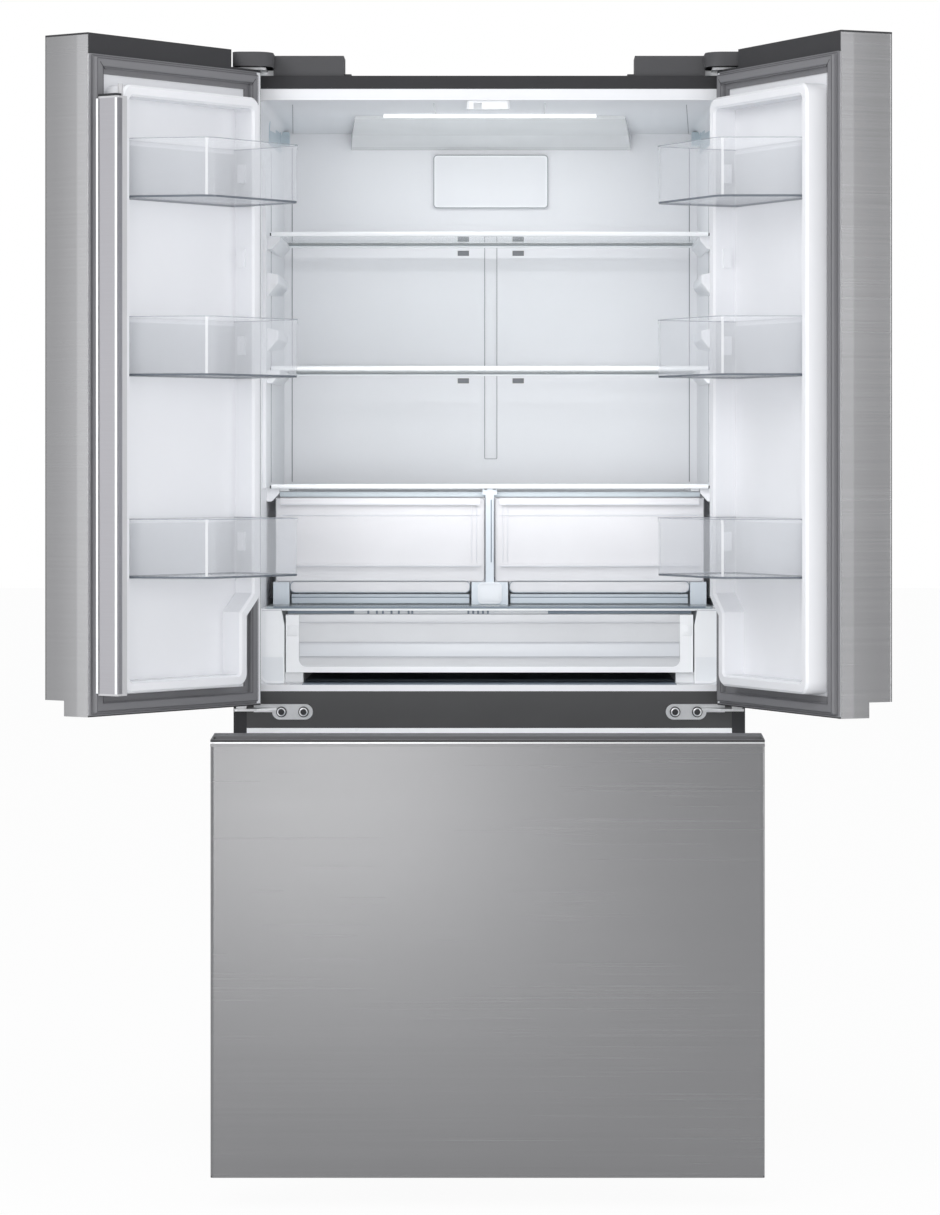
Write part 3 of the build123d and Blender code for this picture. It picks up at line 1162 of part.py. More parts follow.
def drawer_caps():
    """Top cap with a finger groove behind a low lip, and a flat bottom cap."""
    x0, x1 = drawer_span()
    profile = [
        (DOOR_FRONT + SHEET + 0.5, DRAWER_TOP - 10 - CAP_WALL),
        (DOOR_FRONT + SHEET + 0.5, DRAWER_TOP - 10),
        (DOOR_FRONT, DRAWER_TOP - 10),
        (DOOR_FRONT, DRAWER_TOP),
        (DOOR_FRONT + 13, DRAWER_TOP),
        (DOOR_FRONT + 17, DRAWER_TOP - 17),
        (DOOR_FRONT + 42, DRAWER_TOP - 17),
        (DOOR_FRONT + 52, DRAWER_TOP + 2),
        (DOOR_INNER, DRAWER_TOP + 4.5),
        (DOOR_INNER, DRAWER_TOP - 24),
        (DOOR_INNER - 2.5, DRAWER_TOP - 24),
        (DOOR_INNER - 2.5, DRAWER_TOP + 1),
        (DOOR_FRONT + 54, DRAWER_TOP - 1.5),
        (DOOR_FRONT + 44, DRAWER_TOP - 20),
        (DOOR_FRONT + 14, DRAWER_TOP - 20),
        (DOOR_FRONT + 12, DRAWER_TOP - 10 - CAP_WALL),
    ]
    top = profile_along_x(profile, (x0 + CAP_WALL, x1 - CAP_WALL))
    low, high = DRAWER_TOP - 10, DRAWER_TOP + 4.5
    end = [(DOOR_FRONT, low), (DOOR_FRONT, DRAWER_TOP), (DOOR_INNER, high), (DOOR_INNER, low)]
    ends = profile_along_x(end, (x0, x0 + CAP_WALL))
    bottom = block((x0, x1), (DOOR_FRONT, DOOR_INNER), (DRAWER_BOTTOM, DRAWER_BOTTOM + CAP_WALL))
    bottom = fillet(bottom.edges().filter_by(Axis.Z).group_by(Axis.Y)[0], CORNER)
    lid = top + ends + other_side(ends)
    return Compound([*lid.solids(), *bottom.solids()])


def field_core():
    """Foam space behind the raised field of the drawer front's inner panel."""
    x = (-ROOM_HALF + 26, ROOM_HALF - 26)
    return slab(pane(x, (FREEZER_FLOOR + 20, FREEZER_CEILING - 20)), (DOOR_INNER - 2, FIELD_FACE - 3.5))


def drawer_liner():
    """Flat moulded inner panel of the drawer front with a low raised field."""
    x0, x1 = drawer_span()
    z = (DRAWER_BOTTOM + CAP_WALL, DRAWER_TOP - 24)
    body = slab(pane((x0 + SHEET, x1 - SHEET), z), (DOOR_INNER - 2, DOOR_INNER))
    field = pane((-ROOM_HALF + 20, ROOM_HALF - 20), (FREEZER_FLOOR + 14, FREEZER_CEILING - 14), 18)
    return body + slab(field, (DOOR_INNER - 2, FIELD_FACE)) - field_core()


def drawer_insulation():
    """Foam that fills the drawer front."""
    x0, x1 = drawer_span()
    low = DRAWER_BOTTOM + CAP_WALL
    body = block((x0 + SHEET, x1 - SHEET), (DOOR_FRONT + SHEET, DOOR_INNER - 2), (low, DRAWER_TOP - 24))
    body = chamfer(body.edges().filter_by(Axis.Z).group_by(Axis.Y)[0], CORNER - SHEET)
    return body + field_core()


def drawer_gasket():
    """Seal round the drawer front."""
    x0, x1 = drawer_span()
    return gasket((x0 + 4, x1 - 4), (DRAWER_BOTTOM + CAP_WALL, DRAWER_TOP - 4))


def slide_section(outer, depth, height):
    """A C-shaped slide member on the left wall: web at the outer side, lips towards the middle."""
    web = block((outer, outer + SLIDE_SHEET), (SLIDE_FRONT, SLIDE_BACK), height)
    for z in ((height[0], height[0] + SLIDE_SHEET), (height[1] - SLIDE_SHEET, height[1])):
        web += block((outer, outer + depth), (SLIDE_FRONT, SLIDE_BACK), z)
    return web


def slide_member(stage):
    """Outer, middle or inner members of both drawer slides; each runs inside the one before."""
    inset = stage * (SLIDE_SHEET + SLIDE_GAP)
    outer = -ROOM_HALF + inset
    height = (SLIDE_LEVEL + inset, SLIDE_LEVEL + SLIDE_HEIGHT - inset)
    body = slide_section(outer, SLIDE_DEPTH - inset, height)
    if stage == 2:
        inward = outer + SLIDE_DEPTH - inset
        foot = (height[0] - 20, height[1] + 20)
        body += block((inward - 1, inward + 2), (SLIDE_FRONT - 8, SLIDE_BACK), height)
        body += block((inward - 1, inward + 24), (FIELD_FACE, SLIDE_FRONT - 8), foot)
        shelf = (height[0], height[0] + 2)
        body += block((inward + 1, inward + 14), (SLIDE_FRONT - 8, SLIDE_BACK - 20), shelf)
    return both_sides(body)


def basket_half():
    """Half the outside width of the basket below its flange."""
    return ROOM_HALF - SLIDE_DEPTH - 7.0


def drawer_basket():
    """Deep moulded basket hung by its side flanges on the inner slide members."""
    half = basket_half() - 9
    y = (BASKET_FRONT, BASKET_BACK)
    seat = SLIDE_LEVEL + 2 * (SLIDE_SHEET + SLIDE_GAP) + 2
    z = (BASKET_FLOOR, seat + BASKET_RIM)
    body = slab(trough((-half, half), z, BASKET_LEAN, 30.0, 0.0), y)
    body += block((-half - 2, half + 2), (y[0] - 2, y[1] + 2), (z[1] - 6, z[1]))
    side = block((half - 3, half + 13), (y[0] + 28, y[1] - 28), (seat, seat + 3))
    inside = (y[0] + BASKET_WALL, y[1] - BASKET_WALL)
    room = slab(trough((-half, half), z, BASKET_LEAN, 30.0, BASKET_WALL), inside)
    return (body + side + other_side(side)) - room


def freezer_tray():
    """Shallow upper tray that slides on rests in the freezer liner."""
    half = ROOM_HALF - 24.0
    y = (TRAY_FRONT, TRAY_BACK)
    z = (TRAY_TOP - TRAY_HEIGHT, TRAY_TOP)
    wing = block((-ROOM_HALF + 2, -half + 3), (y[0] + 22, y[1] - 22), (TRAY_TOP - 6 + SEAT, TRAY_TOP - 3))
    grip = block((-90, 90), (y[0] - 10, y[0] + 1), (TRAY_TOP - 16, TRAY_TOP - 4))
    body = slab(trough((-half, half), z, 4.0, 20.0, 0.0), y) + wing + other_side(wing) + grip
    inside = (y[0] + BASKET_WALL, y[1] - BASKET_WALL)
    return body - slab(trough((-half, half), z, 4.0, 20.0, BASKET_WALL), inside)


# ---- Assembly ----
def place(shape, moves):
    """A piece carried to where it stands, then moved to the origin under the cabinet's middle."""
    for move in moves:
        shape = move(shape)
    return Pos(0, -CASE_DEPTH / 2, 0) * shape


def swing_left(shape):
    return turned(shape, (HINGE_X, HINGE_Y), -LEFT_OPEN)


def swing_right(shape):
    return turned(other_side(shape), (-HINGE_X, HINGE_Y), RIGHT_OPEN)


def fold_bar(shape):
    return turned(shape, BAR_PIVOT, 90)


def pull_drawer(shape):
    return Pos(0, -DRAWER_OPEN, 0) * shape


def pull_half(shape):
    return Pos(0, -DRAWER_OPEN / 2, 0) * shape


DOOR_NODES = {
    "skin": door_skin,
    "caps": door_caps,
    "liner": door_liner,
    "insulation": door_insulation,
    "gasket": door_gasket,
    "bins": door_bins,
}

NODES = {
    "cabinet_wrap": (cabinet_wrap, []),
    "back_panel": (back_panel, []),
    "cabinet_insulation": (cabinet_insulation, []),
    "fridge_liner": (fridge_liner, []),
    "freezer_liner": (freezer_liner, []),
    "mid_rail": (mid_rail, []),
    "base_frame": (base_frame, []),
    "machine_cover": (machine_cover, []),
    "compressor": (compressor, []),
    "condenser_coil": (condenser_coil, []),
    "evaporator_coil": (evaporator_coil, []),
    "freezer_back_cover": (freezer_back_cover, []),
    "duct_panel": (duct_panel, []),
    "light_strip": (light_strip, []),
    "light_housing": (light_housing, []),
    "mullion_guide": (mullion_guide, []),
    "upper_shelf_glass": (lambda: shelf_glass(UPPER_SHELF), []),
    "upper_shelf_trims": (lambda: shelf_trims(UPPER_SHELF), []),
    "middle_shelf_glass": (lambda: shelf_glass(MIDDLE_SHELF), []),
    "middle_shelf_trims": (lambda: shelf_trims(MIDDLE_SHELF), []),
    "crisper_cover_glass": (lambda: shelf_glass(CRISPER_COVER), []),
    "crisper_cover_frame": (crisper_cover_frame, []),
    "crisper_supports": (crisper_supports, []),
    "pantry_cover_glass": (pantry_cover_glass, []),
    "pantry_rail_covers": (pantry_rail_covers, []),
    "hinge_brackets": (hinge_brackets, []),
    "hinge_covers": (hinge_covers, []),
    "levelling_legs": (levelling_legs, []),
    "drawer_outer_slides": (lambda: slide_member(0), []),
    "rear_roller_left": (lambda: rear_roller(-1), []),
    "rear_roller_right": (lambda: rear_roller(1), []),
    "condenser_fan": (condenser_fan, []),
    "evaporator_fan": (evaporator_fan, []),
    "crisper_left": (lambda: crisper(-1), []),
    "crisper_right": (lambda: crisper(1), []),
    "pantry_drawer": (pantry_drawer, []),
    "freezer_tray": (freezer_tray, []),
    "mullion_lugs": (mullion_lugs, [swing_left]),
    "mullion_bar": (mullion_bar, [fold_bar, swing_left]),
    "mullion_face": (mullion_face, [fold_bar, swing_left]),
    "drawer_skin": (drawer_skin, [pull_drawer]),
    "drawer_caps": (drawer_caps, [pull_drawer]),
    "drawer_liner": (drawer_liner, [pull_drawer]),
    "drawer_insulation": (drawer_insulation, [pull_drawer]),
    "drawer_gasket": (drawer_gasket, [pull_drawer]),
    "drawer_basket": (drawer_basket, [pull_drawer]),
    "drawer_middle_slides": (lambda: slide_member(1), [pull_half]),
    "drawer_inner_slides": (lambda: slide_member(2), [pull_drawer]),
}
for piece, make in DOOR_NODES.items():
    NODES["left_door_" + piece] = (make, [swing_left])
    NODES["right_door_" + piece] = (make, [swing_right])

os.makedirs("parts", exist_ok=True)
for name, (make, moves) in NODES.items():
    export_step(place(make(), moves), f"parts/{name}.step")
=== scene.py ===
import json
import math

import bmesh
import bpy
from mathutils import Matrix, Vector

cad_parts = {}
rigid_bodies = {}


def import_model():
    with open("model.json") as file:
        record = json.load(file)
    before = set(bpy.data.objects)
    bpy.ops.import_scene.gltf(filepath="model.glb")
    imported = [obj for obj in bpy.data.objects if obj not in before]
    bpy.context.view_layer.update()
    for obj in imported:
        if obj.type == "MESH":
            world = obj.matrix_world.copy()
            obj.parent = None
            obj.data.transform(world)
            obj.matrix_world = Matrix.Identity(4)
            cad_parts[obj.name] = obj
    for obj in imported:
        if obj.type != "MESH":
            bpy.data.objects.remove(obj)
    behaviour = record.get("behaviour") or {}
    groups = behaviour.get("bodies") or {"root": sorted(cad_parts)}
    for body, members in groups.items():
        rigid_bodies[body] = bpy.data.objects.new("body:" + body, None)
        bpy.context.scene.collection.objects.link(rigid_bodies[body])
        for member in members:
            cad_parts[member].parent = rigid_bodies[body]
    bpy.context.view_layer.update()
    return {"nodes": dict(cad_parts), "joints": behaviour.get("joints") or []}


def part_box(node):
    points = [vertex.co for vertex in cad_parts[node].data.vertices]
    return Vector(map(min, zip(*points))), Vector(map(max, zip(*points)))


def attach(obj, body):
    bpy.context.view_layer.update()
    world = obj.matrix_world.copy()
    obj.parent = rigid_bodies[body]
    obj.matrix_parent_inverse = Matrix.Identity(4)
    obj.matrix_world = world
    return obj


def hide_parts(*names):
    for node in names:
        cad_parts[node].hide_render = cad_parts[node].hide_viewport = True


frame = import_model()

# A french door refrigerator at rest: both doors and the freezer drawer stand open. Places in the frame are
# in metres. Most pieces are placed in millimetres from the cabinet's front flange. Those of the doors are
# drawn on the left door as if it were shut, then carried to where both doors stand.

FACING = 0.9  # a normal or an edge points along an axis when this much of it does
TOUCH = 1e-4  # two places closer than this are the same
NEAR = 0.001  # two places closer than this belong to the same edge of a moulding


def box(name):
    """Lowest and highest corner of a node at rest."""
    low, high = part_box(name)
    return Vector(low), Vector(high)


def hinge_turn(joint_name):
    """Matrix that carries a door, or a piece on it, from shut to where it stands open."""
    joint = next(j for j in frame["joints"] if j["name"] == joint_name)
    pivot = Matrix.Translation(Vector(joint["pos_m"]))
    turn = Matrix.Rotation(math.radians(-joint["range_deg"][0]), 4, Vector(joint["axis"]))
    return pivot @ turn @ pivot.inverted()


LEFT_DOOR = hinge_turn("left_door_hinge")
RIGHT_DOOR = hinge_turn("right_door_hinge")


def shut_box(name):
    """Lowest and highest corner of a left door's node as if the door were shut."""
    points = [LEFT_DOOR.inverted() @ v.co for v in frame["nodes"][name].data.vertices]
    return [Vector([pick(p[i] for p in points) for i in range(3)]) for pick in (min, max)]


FRONT = box("cabinet_wrap")[0].y  # plane of the cabinet's front flange
BACK_WALL = box("duct_panel")[1].y
ROOM_HALF = 0.3765  # half the width of the fresh food space at its front
ROOM_LEAN = 0.0155 / 0.52  # how far its walls and ceiling close in over its depth
CEILING = 1.7075  # height of its ceiling at the front


def wall_at(y):
    """Half the width of the fresh food space at a depth."""
    return ROOM_HALF - (y - FRONT) * ROOM_LEAN


def ceiling_at(y):
    """Height of the fresh food ceiling at a depth."""
    return CEILING - (y - FRONT) * ROOM_LEAN


# ---- Finishes ----
def shade(red, green, blue):
    """Linear colour of a swatch read as 0 to 255."""
    channels = [value / 255 for value in (red, green, blue)]
    return (*[v / 12.92 if v <= 0.04045 else ((v + 0.055) / 1.055) ** 2.4 for v in channels], 1.0)


class Value:
    """A number that changes over a surface. Arithmetic on it adds Math nodes to its finish."""

    def __init__(self, finish, output):
        self.finish = finish
        self.output = output

    def __add__(self, other):
        return self.finish.math("ADD", self, other)

    def __rsub__(self, other):
        return self.finish.math("SUBTRACT", other, self)

    def __mul__(self, other):
        return self.finish.math("MULTIPLY", self, other)

    def __gt__(self, other):
        return self.finish.math("GREATER_THAN", self, other)

    def __lt__(self, other):
        return self.finish.math("LESS_THAN", self, other)

    __radd__ = __add__


class Nodes:
    """A node tree that is written as Python expressions."""

    def __init__(self, tree):
        self.tree = tree

    def join(self, value, entry):
        """Feeds a socket with a changing value, or sets it to a constant."""
        if isinstance(value, Value):
            self.tree.links.new(value.output, entry)
        else:
            entry.default_value = value

    def node(self, kind, settings=None, inputs=None, output=0):
        """Adds a node: its settings first, then what its sockets hold or are fed by."""
        made = self.tree.nodes.new("ShaderNode" + kind)
        for name, value in (settings or {}).items():
            setattr(made, name, value)
        for name, value in (inputs or {}).items():
            self.join(value, made.inputs[name])
        return Value(self, made.outputs[output])

    def math(self, operation, *values):
        """A Math node on changing values, constants or both."""
        return self.node("Math", {"operation": operation}, dict(enumerate(values)))

    def whitened(self, shader, camera, gloss):
        """White in place of a shader, in one share to the camera and in another to metal and glass."""
        seen = self.node("LightPath", output="Is Camera Ray") * camera
        mirrored = self.node("LightPath", output="Is Glossy Ray")
        through = self.node("LightPath", output="Is Transmission Ray")
        share = self.math("MAXIMUM", seen, self.math("MAXIMUM", mirrored, through) * gloss)
        return self.node("MixShader", None, {0: share, 1: shader, 2: self.node("Emission")})


class Finish(Nodes):
    """A material for one of the refrigerator's surfaces."""

    def __init__(self, name, colour, roughness, **constants):
        self.material = bpy.data.materials.new(name)
        self.material.use_nodes = True
        super().__init__(self.material.node_tree)
        self.shader = self.tree.nodes["Principled BSDF"]
        self.colour = shade(*colour)
        self.set(Base_Color=self.colour, Roughness=roughness, **constants)

    def set(self, **sockets):
        """Sets or feeds sockets of the surface shader, named with underscores for spaces."""
        for name, value in sockets.items():
            self.join(value, self.shader.inputs[name.replace("_", " ")])

    def axis(self, name):
        """One of the object's own coordinates, in metres."""
        return self.node("SeparateXYZ", None, {0: self.node("TexCoord", output="Object")}, name)

    def ramp(self, value, low, high):
        """Goes from 0 to 1 between two values, smoothly."""
        settings = {"interpolation_type": "SMOOTHSTEP"}
        return self.node("MapRange", settings, {"Value": value, "From Min": low, "From Max": high})

    def noise(self, scale, stretch=(1, 1, 1), detail=3.0):
        """Uneven pattern in object coordinates, drawn out into lines by an unequal stretch."""
        coordinates = self.node("TexCoord", output="Object")
        placed = self.node("Mapping", None, {"Vector": coordinates, "Scale": stretch})
        return self.node("TexNoise", None, {"Vector": placed, "Scale": scale, "Detail": detail})

    def between(self, mask, low, high):
        """Colour that goes from one swatch to another with a mask."""
        return self.node("Mix", {"data_type": "RGBA"}, {"Factor": mask, 6: low, 7: high}, 2)

    def relief(self, height, strength, depth):
        """Bends the surface's normal as if it rose and fell by a depth."""
        bump = {"Height": height, "Strength": strength, "Distance": depth}
        self.set(Normal=self.node("Bump", None, bump))


def tinted(colour, factor):
    """A linear colour made lighter or darker."""
    return (*[min(1.0, channel * factor) for channel in colour[:3]], 1.0)


def brushed_steel(name, colour, grain, roughness=0.3, spread=0.1, painted_sheen=None):
    """Sheet metal with fine brushing and faint uneven patches, painted lighter where a mask of painted
    sheen says so.
    """
    steel = Finish(name, colour, roughness, Metallic=1.0)
    lines = steel.noise(1.0, grain, 4.0)
    clouds = steel.noise(3.0, detail=2.0)
    tone = lines * 0.7 + clouds * 0.3

    def brushed(factor):
        low, high = (tinted(steel.colour, factor * part) for part in (1 - spread, 1 + spread))
        return steel.between(tone, low, high)

    plain = brushed(1.0)
    # Where the mask says so, the colour is a lighter copy of the brushed steel: painted sheen.
    steel.set(Base_Color=steel.between(painted_sheen(steel), plain, brushed(1.7)) if painted_sheen else plain)
    steel.set(Roughness=roughness - 0.05 + lines * 0.07 + clouds * 0.03)
    steel.relief(lines, 0.02, 0.0002)
    return steel


PAINTED_SHEEN_SPAN = (-0.40, -0.322)  # depths between which a shut door's skin is painted lighter, a painted sheen
FOLD_SPAN = (-0.350, -0.344)  # depths between which it is folded inwards, where a painted highlight runs


def painted_door_sheen(turn):
    """Mask of painted sheen, lighter towards the folded inner edge of a door's skin, with a painted
    highlight along the fold.
    """
    row = turn.inverted()[1]

    def mask(steel):
        depth = steel.axis("X") * row[0] + steel.axis("Y") * row[1] + row[3]
        # A slow ramp of painted sheen, and a narrow painted highlight along the fold.
        slow = steel.ramp(depth, *PAINTED_SHEEN_SPAN)
        fold = steel.ramp(depth, *FOLD_SPAN)
        return slow * 0.45 + fold * 0.35

    return mask


def painted(name, colour, roughness=0.42, **constants):
    """Sprayed steel with a light orange peel and a little dust in the gloss."""
    paint = Finish(name, colour, roughness, **constants)
    skin = paint.noise(900.0, detail=2.0)
    dust = paint.noise(18.0)
    paint.set(Base_Color=paint.between(dust, tinted(paint.colour, 0.92), tinted(paint.colour, 1.08)))
    paint.set(Roughness=roughness - 0.05 + dust * 0.1)
    paint.relief(skin, 0.08, 0.0003)
    return paint


def moulded(name, colour, roughness=0.3, **constants):
    """Moulded plastic with a faint flow pattern and fine surface grain."""
    plastic = Finish(name, colour, roughness, **constants)
    flow = plastic.noise(6.0, detail=2.0)
    grain = plastic.noise(1400.0, detail=1.0)
    low, high = (tinted(plastic.colour, part) for part in (0.975, 1.02))
    plastic.set(Base_Color=plastic.between(flow, low, high))
    plastic.set(Roughness=roughness - 0.04 + flow * 0.08)
    plastic.relief(grain, 0.05, 0.0002)
    return plastic


def clear(name, colour, alpha, roughness=0.1, **constants):
    """Clear or tinted pane or tub, a little denser where the moulding is thick."""
    pane = Finish(name, colour, roughness, **constants)
    flow = pane.noise(9.0, detail=1.0)
    pane.set(Base_Color=pane.between(flow, tinted(pane.colour, 0.97), tinted(pane.colour, 1.02)))
    pane.set(Alpha=alpha - 0.03 + flow * 0.06)
    pane.set(Roughness=roughness - 0.03 + flow * 0.06)
    return pane


HIGHLIGHT_LOW, HIGHLIGHT_HIGH = 0.6966, 0.6986  # heights of the painted highlight along the skin's bend, on the drawer cap's face


def folded_cap(name, colour, skin):
    """Cap whose face is covered by the skin's folded upper edge, up to a painted highlight on the bend,
    with painted shade darkening the lip above it.
    """
    cap = Finish(name, colour, 0.5)
    flow = cap.noise(6.0, detail=2.0)
    face = cap.axis("Y") < box("drawer_skin")[0].y + 0.0004
    height = cap.axis("Z")
    fold = face * (height < HIGHLIGHT_HIGH)
    bend = fold * (height > HIGHLIGHT_LOW)
    grey = cap.between(flow, tinted(cap.colour, 0.95), tinted(cap.colour, 1.05))
    # Painted shade: the cap's face above the fold, its lip, is made darker.
    shaded_lip = cap.between(face, grey, tinted(cap.colour, 0.4))
    # Painted highlight: a near-white band along the bend.
    cap.set(Base_Color=cap.between(bend, cap.between(fold, shaded_lip, skin), shade(226, 226, 227)))
    cap.set(Metallic=fold, Roughness=0.5 - fold * 0.22)
    return cap


GRAIN = (2, 2, 480)  # brushing that runs across, in the door and drawer skins
STAINLESS = brushed_steel("stainless_brushed", (137, 137, 138), GRAIN, 0.26, 0.14)
# The door skins' copies of the steel carry a painted sheen towards their folded inner edges.
LEFT_STEEL = brushed_steel("stainless_left", (137, 137, 138), GRAIN, 0.26, 0.14, painted_door_sheen(LEFT_DOOR))
RIGHT_STEEL = brushed_steel("stainless_right", (137, 137, 138), GRAIN, 0.26, 0.14, painted_door_sheen(RIGHT_DOOR))
MULLION_STEEL = brushed_steel("stainless_mullion", (166, 165, 169), (3, 3, 900))
# A much lighter copy of the steel: painted highlight for the skins' folded edges.
EDGE_HIGHLIGHT_STEEL = brushed_steel("skin_edge_highlight", (225, 225, 226), (3, 3, 900), 0.35)
ZINC = brushed_steel("zinc_plated", (244, 245, 247), (160, 160, 160), 0.36)
RAIL_STEEL = brushed_steel("slide_steel", (176, 178, 182), (900, 5, 900), 0.34)
GALVANISED = brushed_steel("galvanised_sheet", (160, 163, 166), (30, 30, 30), 0.48)
COIL = brushed_steel("coil_tube", (178, 180, 182), (500, 20, 20), 0.4)

CHARCOAL = painted("charcoal_paint", (56, 56, 58), 0.6, Specular_IOR_Level=0.2)
RAIL_PAINT = painted("cross_rail_paint", (66, 66, 67))
BLACK_PAINT = painted("compressor_paint", (22, 22, 23), 0.35)

LINER = moulded("liner_white", (237, 238, 241), 0.22)
ROOM_LINER = moulded("room_liner_white", (237, 238, 241), 0.42, Specular_IOR_Level=0.3)
TRIM = moulded("trim_white", (246, 248, 250), 0.25)
POST = moulded("post_white", (226, 229, 233), 0.3)
TUB = moulded("freezer_white", (248, 250, 252), 0.28)
DOOR_CAP = moulded("door_cap_grey", (60, 60, 62), 0.6, Specular_IOR_Level=0.2)
DRAWER_CAP = folded_cap("drawer_cap_grey", (84, 84, 86), STAINLESS.colour)
HINGE_COVER = moulded("hinge_cover_grey", (78, 78, 80), 0.55, Specular_IOR_Level=0.3)
BAR_PLASTIC = moulded("mullion_grey", (188, 188, 190), 0.4)
# Black plastic for real parts, also used as painted shade in the gaps beside the crisper cover and on the
# mullion's top.
BLACK_PLASTIC_AND_SHADE = moulded("black_plastic", (34, 36, 39), 0.5)
VENT_GREY = moulded("vent_grey", (128, 130, 134), 0.45)
# Grey for the painted shadow round the edge of the duct panel.
PANEL_SHADOW_LINE = moulded("duct_shadow_grey", (166, 169, 174), 0.4)
# Grey for fine lines of painted shade in creases, corners and round edges.
SHADE_LINE_GREY = moulded("shade_line_grey", (140, 142, 147), 0.4)
SEAL = moulded("door_seal", (120, 120, 123), 0.55)
# Dark grey for painted shade in the folds of the door seal.
SEAL_GROOVE_SHADE = moulded("seal_groove_shade", (78, 78, 82), 0.6)
FOAM = moulded("foam", (214, 204, 160), 0.9)
# Slate grey for slots, gaps, rails and foot lines, painted shade; on the pantry glass's front edge, partly
# the glass's own tint and partly painted shade.
SLATE_SHADE = moulded("slate_shade", (124, 136, 148), 0.4)
# Dark slate for the sheet of painted shade under the pantry drawer.
SHADE_SHEET = moulded("shade_sheet_slate", (74, 83, 92), 0.5)
SEAL_LINE = moulded("seal_line", (146, 156, 164), 0.4)
BAND = moulded("window_band", (228, 231, 235), 0.3)
APRON = moulded("cover_apron", (204, 213, 219), 0.4)
# Light grey for creases and joint lines in the white plastic: painted shade.
CREASE_SHADE = moulded("crease_shade", (203, 205, 211), 0.3)
POCKET = moulded("pocket_blue_grey", (190, 203, 211), 0.35)
FROSTED = moulded("frosted_panel", (236, 239, 242), 0.5)
# Dark grey for the painted shade on screw rims and in their sockets.
SOCKET_SHADE = moulded("screw_socket_shade", (44, 44, 46), 0.5)
SUPPORT = moulded("support_blue_white", (208, 215, 222), 0.25)
LIT_STRIP = moulded("lit_strip", (255, 255, 255), 0.3, Emission_Color=(1, 1, 1, 1), Emission_Strength=0.8)

PANTRY_GLASS = clear("pantry_glass", (214, 224, 229), 0.62, 0.08)
SHELF_GLASS = clear("shelf_glass", (226, 236, 238), 0.3, 0.06)
BIN_CLEAR = clear("bin_clear", (228, 231, 236), 0.16)
# Darker rim line and foot edge of the bins: painted shade in place of the dark edges that refraction gives
# clear plastic.
BIN_RIM_SHADE = clear("bin_rim_shade", (150, 155, 162), 0.7)
BIN_FOOT_SHADE = clear("bin_foot_shade", (92, 99, 108), 0.85)
BIN_FLOOR = clear("bin_floor", (206, 211, 219), 0.34)
# Near-white, denser faces at the bins' round front corners: painted highlight.
BIN_CORNER_HIGHLIGHT = clear("bin_corner_highlight", (250, 251, 253), 0.5)
CRISPER_CLEAR = clear("crisper_clear", (243, 243, 246), 0.62, 0.2)
PANTRY_CLEAR = clear("pantry_clear", (246, 248, 251), 0.6, 0.2)
LENS = clear("lamp_lens", (250, 251, 252), 0.8, 0.2)

FINISHES = {
    STAINLESS: ("drawer_skin",),
    LEFT_STEEL: ("left_door_skin",),
    RIGHT_STEEL: ("right_door_skin",),
    MULLION_STEEL: ("mullion_face",),
    ZINC: ("hinge_brackets",),
    RAIL_STEEL: ("drawer_outer_slides", "drawer_middle_slides", "drawer_inner_slides"),
    GALVANISED: ("back_panel", "base_frame"),
    COIL: ("condenser_coil", "evaporator_coil"),
    CHARCOAL: ("cabinet_wrap",),
    RAIL_PAINT: ("mid_rail",),
    BLACK_PAINT: ("compressor",),
    ROOM_LINER: ("fridge_liner", "duct_panel"),
    LINER: ("left_door_liner", "right_door_liner"),
    TRIM: (
        "upper_shelf_trims", "middle_shelf_trims", "crisper_cover_frame", "pantry_rail_covers",
        "mullion_guide",
    ),
    TUB: ("freezer_liner", "freezer_back_cover", "freezer_tray", "drawer_basket", "drawer_liner"),
    DOOR_CAP: ("left_door_caps", "right_door_caps"),
    DRAWER_CAP: ("drawer_caps",),
    HINGE_COVER: ("hinge_covers",),
    BAR_PLASTIC: ("mullion_bar", "mullion_lugs"),
    BLACK_PLASTIC_AND_SHADE: (
        "machine_cover", "levelling_legs", "rear_roller_left", "rear_roller_right", "condenser_fan",
        "evaporator_fan",
    ),
    SEAL: ("left_door_gasket", "right_door_gasket", "drawer_gasket"),
    FOAM: ("cabinet_insulation", "left_door_insulation", "right_door_insulation", "drawer_insulation"),
    SHELF_GLASS: ("upper_shelf_glass", "middle_shelf_glass", "crisper_cover_glass"),
    PANTRY_GLASS: ("pantry_cover_glass",),
    SUPPORT: ("crisper_supports",),
    BIN_CLEAR: ("left_door_bins", "right_door_bins"),
    CRISPER_CLEAR: ("crisper_left", "crisper_right"),
    PANTRY_CLEAR: ("pantry_drawer",),
    LENS: ("light_housing",),
    LIT_STRIP: ("light_strip",),
}
for finish, nodes in FINISHES.items():
    for name in nodes:
        for slot in frame["nodes"][name].material_slots:
            slot.material = finish.material


# ---- Shaping ----
SMOOTH_ANGLE = math.radians(30)  # edges flatter than this are shaded smooth


def ready():
    """Clears the selection, so that the next operator acts on the new piece alone."""
    bpy.ops.object.select_all(action="DESELECT")


